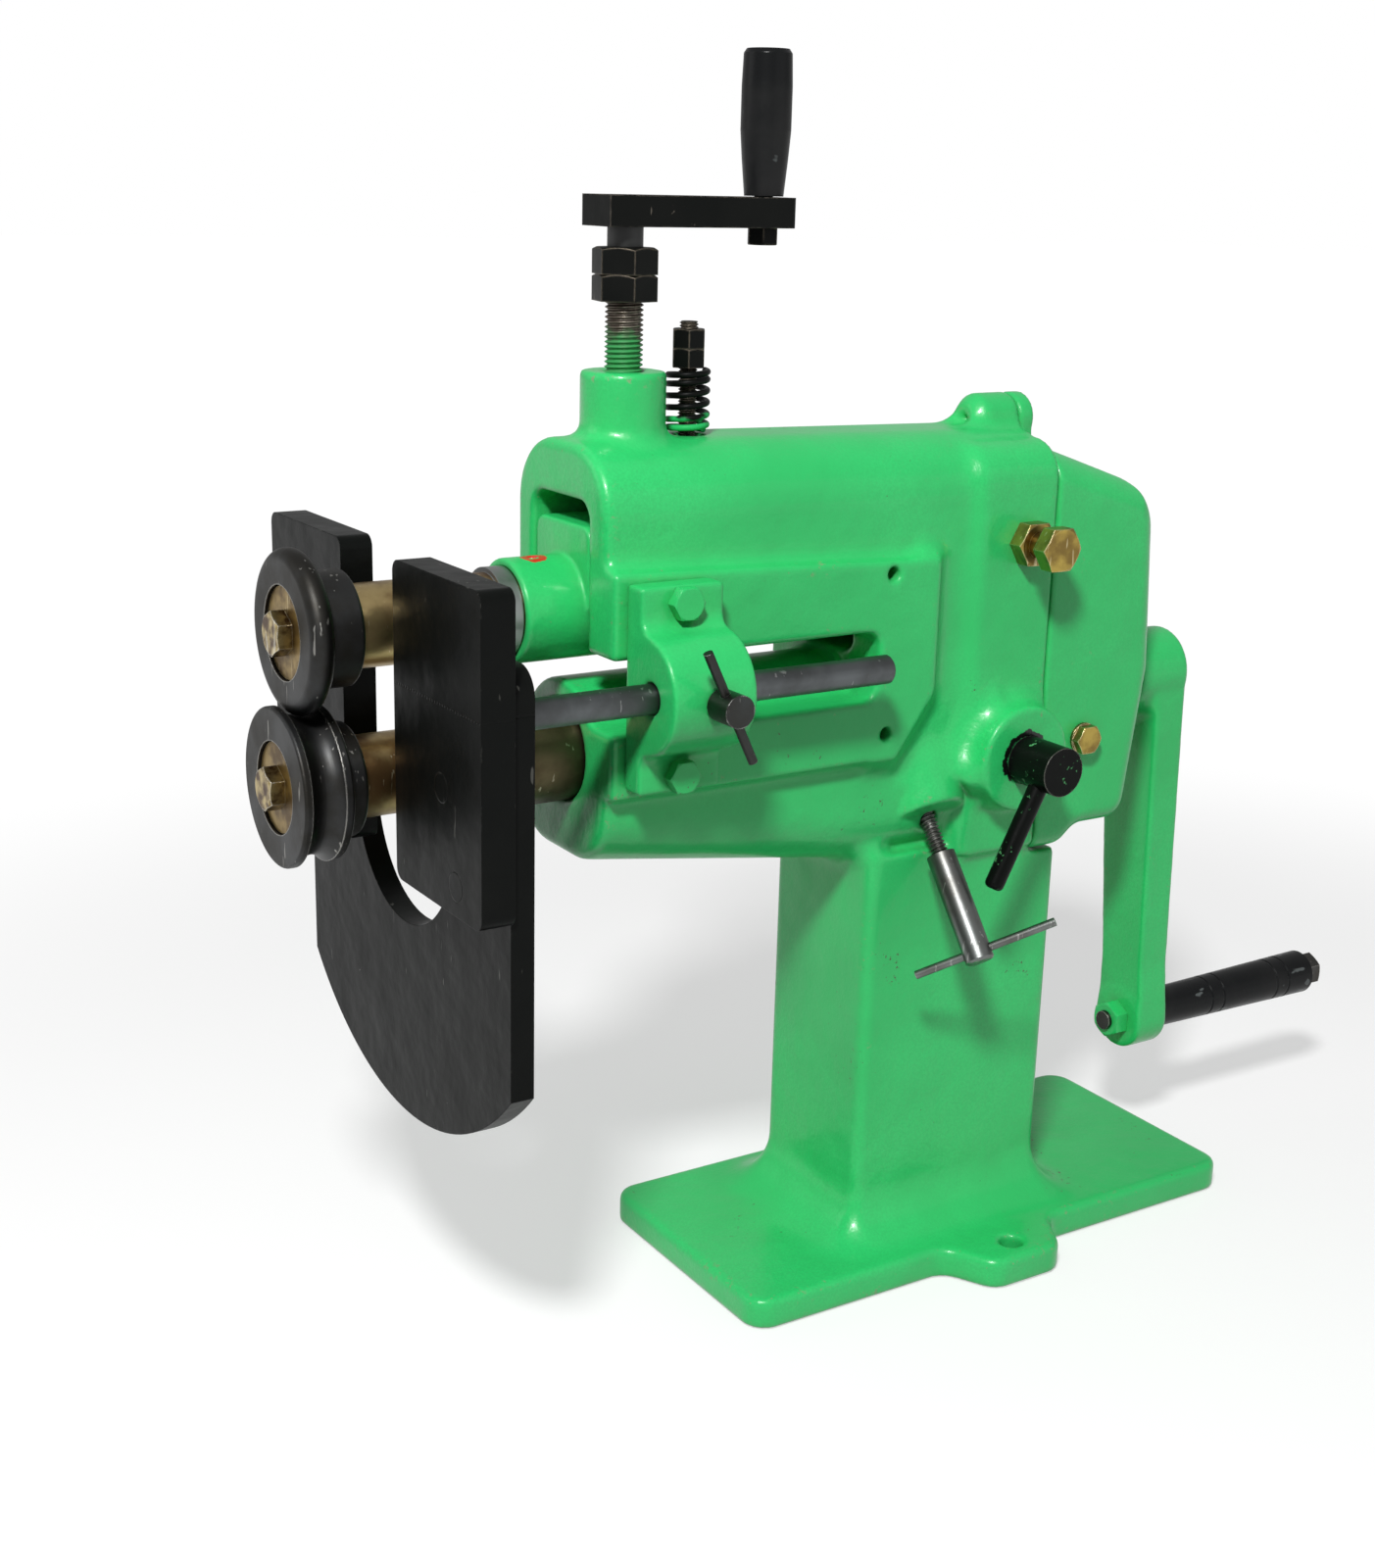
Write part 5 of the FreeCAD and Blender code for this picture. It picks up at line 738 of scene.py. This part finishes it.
def fieldSlopes(mesh, field, low, voxel):
    # A smooth normal for every corner, from the slope of the distance field.
    spots = np.empty(len(mesh.vertices) * 3, np.float32)
    mesh.vertices.foreach_get("co", spots)
    spots = spots.reshape(-1, 3) / voxel - low
    corner = np.clip(np.floor(spots).astype(int), 0, np.array(field.shape) - 2)
    part = spots - corner
    slopes = np.gradient(field)
    normals = np.zeros(spots.shape, np.float32)
    for step in np.ndindex(2, 2, 2):
        weight = np.prod(np.where(step, part, 1 - part), axis=1)
        spot = tuple((corner + step).T)
        normals += weight[:, None] * np.stack([slope[spot] for slope in slopes], axis=1)
    lengths = np.linalg.norm(normals, axis=1)
    lengths[lengths == 0] = 1
    return normals / lengths[:, None]


def skinOf(field, low, voxel, name):
    # The surface where the distance is nought, as a mesh of quads.
    grid = openvdb.FloatGrid(float(field.max()))
    grid.transform = openvdb.createLinearTransform(voxelSize=voxel)
    grid.copyFromArray(field, ijk=tuple(int(step) for step in low))
    skin, quads = grid.convertToQuads(0.0)
    mesh = bpy.data.meshes.new(name)
    mesh.vertices.add(len(skin))
    mesh.vertices.foreach_set("co", skin.astype(np.float32).ravel())
    mesh.loops.add(len(quads) * 4)
    mesh.loops.foreach_set("vertex_index", quads.astype(np.int32).ravel())
    mesh.polygons.add(len(quads))
    mesh.polygons.foreach_set("loop_start", np.arange(len(quads), dtype=np.int32) * 4)
    mesh.polygons.foreach_set("loop_total", np.full(len(quads), 4, np.int32))
    mesh.update(calc_edges=True)
    return mesh


def softCasting(node, casting):
    # The node's form again with cast fillets and rounded edges, on a grid of distances.
    voxel = casting["voxel"]
    points, triangles = mergedTriangles(node)
    widest = max(zone[0] for zone in casting["zones"])
    grid = distanceGrid(points, voxel, widest / voxel + grids["band"], triangles=triangles)
    low = np.floor(points.min(0) / voxel).astype(int) - grids["margin"]
    high = np.ceil(points.max(0) / voxel).astype(int) + grids["margin"] + 1
    size = tuple(int(step) for step in high - low)
    field = denseField(grid, low, size)
    places = [(np.arange(size[axis]) + low[axis]).reshape([-1 if axis == turn else 1 for turn in range(3)])
              * voxel for axis in range(3)]
    for bar in casting.get("bars", []):
        field = np.minimum(field, roundedBar(places, bar))
    for start, end, startRadius, endRadius in casting.get("cones", []):
        cone = coneAway(places, start, end, startRadius, endRadius)
        bore = coneAway(places, start, end, casting["coneBore"], casting["coneBore"])
        field = np.minimum(field, np.maximum(cone, -bore).astype(np.float32))
    held = 1.0
    for start, end, radius in casting["holes"]:
        held = held * (1 - fallOff(coneAway(places, start, end, radius, radius), 2 * voxel))
    for ball in sorted({zone[0] for zone in casting["zones"]}):
        mask = 0.0
        for zoneBall, start, end, soft in casting["zones"]:
            if zoneBall == ball:
                mask = np.maximum(mask, boxMask(places, start, end, soft))
        filled = np.minimum(closedField(grid, ball, voxel, low, size), field)
        field = field + (filled - field) * (mask * held).astype(np.float32)
    field = blurred(field, casting["blur"])
    piece = bpy.data.objects.new(casting["piece"], skinOf(field, low, voxel, casting["piece"]))
    scene.collection.objects.link(piece)
    if 2 * len(piece.data.polygons) > casting["most"]:
        thin = piece.modifiers.new("thin", "DECIMATE")
        thin.ratio = casting["most"] / (2 * len(piece.data.polygons))
        view = bpy.context.evaluated_depsgraph_get()
        finer = bpy.data.meshes.new_from_object(piece.evaluated_get(view))
        piece.modifiers.clear()
        piece.data = finer
    mesh = piece.data
    mesh.polygons.foreach_set("use_smooth", np.ones(len(mesh.polygons), bool))
    mesh.normals_split_custom_set_from_vertices(fieldSlopes(mesh, field, low, voxel).tolist())
    mesh.materials.append(nodes[node].data.materials[0])
    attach(piece, nodes[node]["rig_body"])
    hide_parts(node)
    print(casting["piece"], "faces:", len(mesh.polygons))


def bolts(reach, heights, radius, front, depth):
    # Bolt holes along the Y axis that stay as they were drilled.
    return [((reach, front, height), (reach, depth, height), radius) for height in heights]


# Lengths are in metres. A zone is a ball's radius, a box's two corners and a soft distance: inside the
# box, inside corners are filled to that ball. Holes, cones and the held rods keep what is drilled or flat.
castings = {
    "frame_casting": {
        "piece": "softFrameCasting", "voxel": 0.0014, "blur": 1, "most": 195000,
        "zones": [
            (0.004, (-0.23, -0.10, 0.004), (0.20, 0.10, 0.43), 0.004),
            (0.012, (-0.080, -0.050, 0.243), (-0.012, -0.036, 0.290), 0.008),
            (0.007, (-0.080, -0.070, 0.228), (0.018, -0.036, 0.290), 0.004),
            (0.012, (-0.060, -0.060, 0.290), (-0.015, -0.034, 0.345), 0.006),
            (0.009, (-0.055, -0.060, 0.335), (-0.005, 0.060, 0.405), 0.006),
            (0.009, (-0.090, -0.050, 0.180), (-0.068, 0.050, 0.215), 0.004)],
        "cones": [((-0.0415, -0.02709, 0.23433), (-0.0415, -0.03540, 0.22369), 0.0216, 0.0185)],
        "coneBore": 0.0044,
        "holes": bolts(-0.075, (0.269, 0.341), 0.0045, -0.06, -0.02)
        + bolts(-0.191, (0.269, 0.341), 0.006, -0.06, -0.02)
        + bolts(0.003, (0.349,), 0.008, -0.06, 0.06) + bolts(0.0, (0.2502,), 0.0115, -0.08, -0.02)
        + [((-0.1865, 0, 0.36), (-0.1865, 0, 0.44), 0.010), ((-0.155, 0, 0.37), (-0.155, 0, 0.41), 0.008),
           ((-0.0415, -0.012, 0.254), (-0.0415, -0.05, 0.205), 0.006),
           ((-0.0415, -0.0302, 0.2304), (-0.0415, -0.0517, 0.2028), 0.021),
           ((-0.23, 0, 0.269), (0.03, 0, 0.269), 0.0235), ((-0.01, 0, 0.4005), (0.03, 0, 0.4005), 0.004)]},
    "upper_barrel": {
        "piece": "softUpperBarrel", "voxel": 0.0009, "blur": 1, "most": 110000,
        "bars": [{"low": (-0.2148, -0.0231, 0.3290), "high": (-0.1420, 0.0231, 0.3670), "round": 0.0060,
                  "bore": 0.0170, "boreHeight": 0.331}],
        "zones": [(0.003, (-0.224, -0.03, 0.334), (-0.208, 0.03, 0.37), 0.003)],
        "holes": []},
    "gear_cover": {
        "piece": "softGearCover", "voxel": 0.0012, "blur": 1, "most": 120000,
        "zones": [(0.004, (0.02, -0.07, 0.19), (0.101, 0.07, 0.42), 0.004),
                  (0.008, (0.080, -0.04, 0.23), (0.096, 0.04, 0.31), 0.004),
                  (0.007, (0.020, -0.02, 0.375), (0.035, 0.02, 0.400), 0.004)],
        "holes": [((0.06, 0, 0.269), (0.11, 0, 0.269), 0.0165),
                  ((0.01, 0, 0.4005), (0.035, 0, 0.4005), 0.004),
                  ((0.01, 0.027, 0.229), (0.10, 0.027, 0.229), 0.008),
                  ((0.01, -0.027, 0.229), (0.10, -0.027, 0.229), 0.008),
                  ((0.0455, -0.06, 0.252), (0.0455, -0.02, 0.252), 0.008)]},
    "gauge_bracket": {
        "piece": "softGaugeBracket", "voxel": 0.0008, "blur": 2, "most": 60000,
        "zones": [(0.006, (-0.22, -0.12, 0.25), (-0.16, -0.04, 0.36), 0.003)],
        "holes": bolts(-0.191, (0.269, 0.341), 0.0075, -0.12, -0.04)
        + bolts(-0.190, (0.305,), 0.006, -0.12, -0.06)
        + [((-0.22, -0.066, 0.305), (-0.16, -0.066, 0.305), 0.0075)]},
    "crank_arm": {
        "piece": "softCrankArm", "voxel": 0.0010, "blur": 2, "most": 60000,
        "zones": [(0.006, (0.10, -0.03, 0.05), (0.16, 0.03, 0.30), 0.003)],
        "holes": [((0.10, 0, 0.269), (0.14, 0, 0.269), 0.0135), ((0.10, 0, 0.282), (0.14, 0, 0.282), 0.004),
                  ((0.12, 0, 0.0765), (0.15, 0, 0.0765), 0.006)]},
}
for node, casting in castings.items():
    softCasting(node, casting)
print("castings rounded:", len(castings))


def newTree(name, numbers):
    # A geometry tree with a named input for every number, and one for the material.
    tree = bpy.data.node_groups.new(name, "GeometryNodeTree")
    tree.interface.new_socket(name="Geometry", in_out="OUTPUT", socket_type="NodeSocketGeometry")
    for label, value in numbers.items():
        kind = {tuple: "NodeSocketVector", int: "NodeSocketInt", float: "NodeSocketFloat"}[type(value)]
        socket = tree.interface.new_socket(name=label, in_out="INPUT", socket_type=kind)
        socket.default_value = value
    tree.interface.new_socket(name="Material", in_out="INPUT", socket_type="NodeSocketMaterial")
    return tree, tree.nodes.new("NodeGroupInput").outputs, tree.nodes.new("NodeGroupOutput").inputs


def finishTree(tree, given, made, geometry):
    smooth = addNode(tree, "GeometryNodeSetShadeSmooth", [("Geometry", geometry)])
    real = addNode(tree, "GeometryNodeRealizeInstances", [("Geometry", smooth.outputs[0])])
    dressed = addNode(tree, "GeometryNodeSetMaterial", [("Geometry", real.outputs[0]),
                                                        ("Material", given["Material"])])
    tree.links.new(dressed.outputs[0], made["Geometry"])
    return tree


def setPolar(tree, geometry, turn, radius, height):
    # Lays every point out round the Z axis.
    across = work(tree, "MULTIPLY", radius, work(tree, "COSINE", turn))
    along = work(tree, "MULTIPLY", radius, work(tree, "SINE", turn))
    place = addNode(tree, "ShaderNodeCombineXYZ", [("X", across), ("Y", along), ("Z", height)]).outputs[0]
    return addNode(tree, "GeometryNodeSetPosition", [("Geometry", geometry), ("Position", place)]).outputs[0]


# The flanks' steepness and the share of depth kept for the crest, and the distances in metres under
# which points are one and ends are closed.
threadForm = {"steep": 1.35, "crest": 0.17, "weld": 0.000002, "closed": 0.000001}


def makeThreadTree():
    # A screw along the Z axis: a thread, then a plain part of another radius, with chamfered ends.
    tree, given, made = newTree("threadedRod", {
        "Radius": 0.004, "Depth": 0.0005, "Pitch": 0.00125, "Length": 0.05, "Thread End": 0.05,
        "Plain Radius": 0.004, "Chamfer": 0.0006, "Around": 41, "Rows": 200,
        "Start": (0.0, 0.0, 0.0), "Lean": (0.0, 0.0, 0.0)})
    grid = addNode(tree, "GeometryNodeMeshGrid", [
        ("Size X", 1.0), ("Size Y", 1.0), ("Vertices X", given["Around"]), ("Vertices Y", given["Rows"])])
    point = addNode(tree, "GeometryNodeInputPosition").outputs[0]
    parts = addNode(tree, "ShaderNodeSeparateXYZ", [(0, point)]).outputs
    share = work(tree, "ADD", parts["X"], 0.5)
    height = work(tree, "MULTIPLY", work(tree, "ADD", parts["Y"], 0.5), given["Length"])
    threaded = work(tree, "LESS_THAN", height, given["Thread End"])
    wound = work(tree, "SUBTRACT", work(tree, "DIVIDE", height, given["Pitch"]), share)
    beat = work(tree, "FRACT", wound)
    tooth = work(tree, "ABSOLUTE", work(tree, "SUBTRACT", work(tree, "MULTIPLY", beat, 2.0), 1.0))
    steep = work(tree, "MULTIPLY", tooth, threadForm["steep"])
    flank = work(tree, "SUBTRACT", steep, threadForm["crest"], clamp=True)
    cutIn = work(tree, "MULTIPLY", work(tree, "MULTIPLY", flank, given["Depth"]), threaded)
    plain = work(tree, "SUBTRACT", given["Plain Radius"], given["Radius"])
    plain = work(tree, "MULTIPLY", plain, work(tree, "SUBTRACT", 1.0, threaded))
    full = work(tree, "ADD", given["Radius"], plain)
    nearEnd = work(tree, "MINIMUM", height, work(tree, "SUBTRACT", given["Length"], height))
    slope = work(tree, "ADD", work(tree, "SUBTRACT", full, given["Chamfer"]), nearEnd)
    radius = work(tree, "MINIMUM", work(tree, "SUBTRACT", full, cutIn), slope)
    radius = work(tree, "MULTIPLY", radius, work(tree, "GREATER_THAN", nearEnd, threadForm["closed"]))
    laid = setPolar(tree, grid.outputs["Mesh"], work(tree, "MULTIPLY", share, 2 * math.pi), radius, height)
    welded = addNode(tree, "GeometryNodeMergeByDistance", [("Geometry", laid),
                                                           ("Distance", threadForm["weld"])])
    placed = addNode(tree, "GeometryNodeTransform", [
        ("Geometry", welded.outputs[0]), ("Translation", given["Start"]), ("Rotation", given["Lean"])])
    return finishTree(tree, given, made, placed.outputs[0])


def makeSpringTree():
    # A coil along the Z axis that lies closed at both ends and open between.
    tree, given, made = newTree("coilSpring", {
        "Coil Radius": 0.008, "Wire Radius": 0.001, "Closed Turns": 1.25, "Open Turns": 3.5,
        "Closed Pitch": 0.003, "Open Pitch": 0.005, "Steps": 400, "Wire Sides": 16,
        "Start": (0.0, 0.0, 0.0)})
    line = addNode(tree, "GeometryNodeMeshLine", [("Count", given["Steps"])], mode="OFFSET")
    path = addNode(tree, "GeometryNodeMeshToCurve", [("Mesh", line.outputs["Mesh"])])
    count = addNode(tree, "GeometryNodeInputIndex").outputs[0]
    whole = work(tree, "ADD", work(tree, "MULTIPLY", given["Closed Turns"], 2.0), given["Open Turns"])
    share = work(tree, "DIVIDE", count, work(tree, "SUBTRACT", given["Steps"], 1.0))
    turns = work(tree, "MULTIPLY", share, whole)
    past = work(tree, "SUBTRACT", turns, given["Closed Turns"])
    openPart = work(tree, "MINIMUM", work(tree, "MAXIMUM", past, 0.0), given["Open Turns"])
    closedPart = work(tree, "SUBTRACT", turns, openPart)
    height = work(tree, "ADD", work(tree, "MULTIPLY", closedPart, given["Closed Pitch"]),
                  work(tree, "MULTIPLY", openPart, given["Open Pitch"]))
    wound = setPolar(tree, path.outputs["Curve"], work(tree, "MULTIPLY", turns, 2 * math.pi),
                     given["Coil Radius"], height)
    section = addNode(tree, "GeometryNodeCurvePrimitiveCircle", [("Resolution", given["Wire Sides"]),
                                                                 ("Radius", given["Wire Radius"])])
    swept = addNode(tree, "GeometryNodeCurveToMesh", [("Curve", wound), ("Profile Curve", section.outputs[0]),
                                                      ("Fill Caps", True)])
    placed = addNode(tree, "GeometryNodeTransform", [("Geometry", swept.outputs[0]),
                                                     ("Translation", given["Start"])])
    return finishTree(tree, given, made, placed.outputs[0])


def growPiece(name, tree, node, values):
    # Runs the tree once and keeps the mesh it makes, in the node's place and material.
    piece = bpy.data.objects.new(name, bpy.data.meshes.new(name))
    scene.collection.objects.link(piece)
    grower = piece.modifiers.new("grown", "NODES")
    grower.node_group = tree
    for item in tree.interface.items_tree:
        if item.in_out == "INPUT" and item.name in values:
            grower[item.identifier] = values[item.name]
        elif item.name == "Material":
            grower[item.identifier] = nodes[node].data.materials[0]
    view = bpy.context.evaluated_depsgraph_get()
    grown = bpy.data.meshes.new_from_object(piece.evaluated_get(view))
    piece.modifiers.clear()
    piece.data = grown
    print(name, "faces:", len(grown.polygons))
    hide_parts(node)
    return piece


screws = {
    "pressing_screw": ("pressingScrewThread", "machined_steel", {
        "Radius": 0.008, "Depth": 0.00125, "Pitch": 0.0020, "Length": 0.1222, "Thread End": 0.1015,
        "Plain Radius": 0.0074, "Chamfer": 0.0008, "Around": 49, "Rows": 520,
        "Start": (-0.1865, 0.0, 0.375), "Lean": (0.0, 0.0, 0.0)}),
    "lift_stud": ("liftStudThread", "black_enamel", {
        "Radius": 0.004, "Depth": 0.00075, "Pitch": 0.00125, "Length": 0.0920, "Thread End": 0.0925,
        "Plain Radius": 0.004, "Chamfer": 0.0007, "Around": 33, "Rows": 580,
        "Start": (-0.155, 0.0, 0.355), "Lean": (0.0, 0.0, 0.0)}),
    "quill_clamp_screw": ("quillClampThread", "machined_steel", {
        "Radius": 0.004, "Depth": 0.00100, "Pitch": 0.00185, "Length": 0.10785, "Thread End": 0.05485,
        "Plain Radius": 0.00675, "Chamfer": 0.0010, "Around": 41, "Rows": 640,
        "Start": (-0.0415, -0.013637, 0.251546), "Lean": (2.478368, 0.0, 0.0)}),
}
spring = {"Coil Radius": 0.00835, "Wire Radius": 0.0013, "Closed Turns": 1.25, "Open Turns": 3.5,
          "Closed Pitch": 0.0031, "Open Pitch": 0.004929, "Steps": 433, "Wire Sides": 16,
          "Start": (-0.155, 0.0, 0.4014)}
threadTree = makeThreadTree()
for node, (name, slot, values) in screws.items():
    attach(growPiece(name, threadTree, node, values), nodes[node]["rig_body"])
coil = growPiece("liftSpringCoil", makeSpringTree(), "lift_spring", spring)
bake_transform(coil)
print("threads and spring wound")
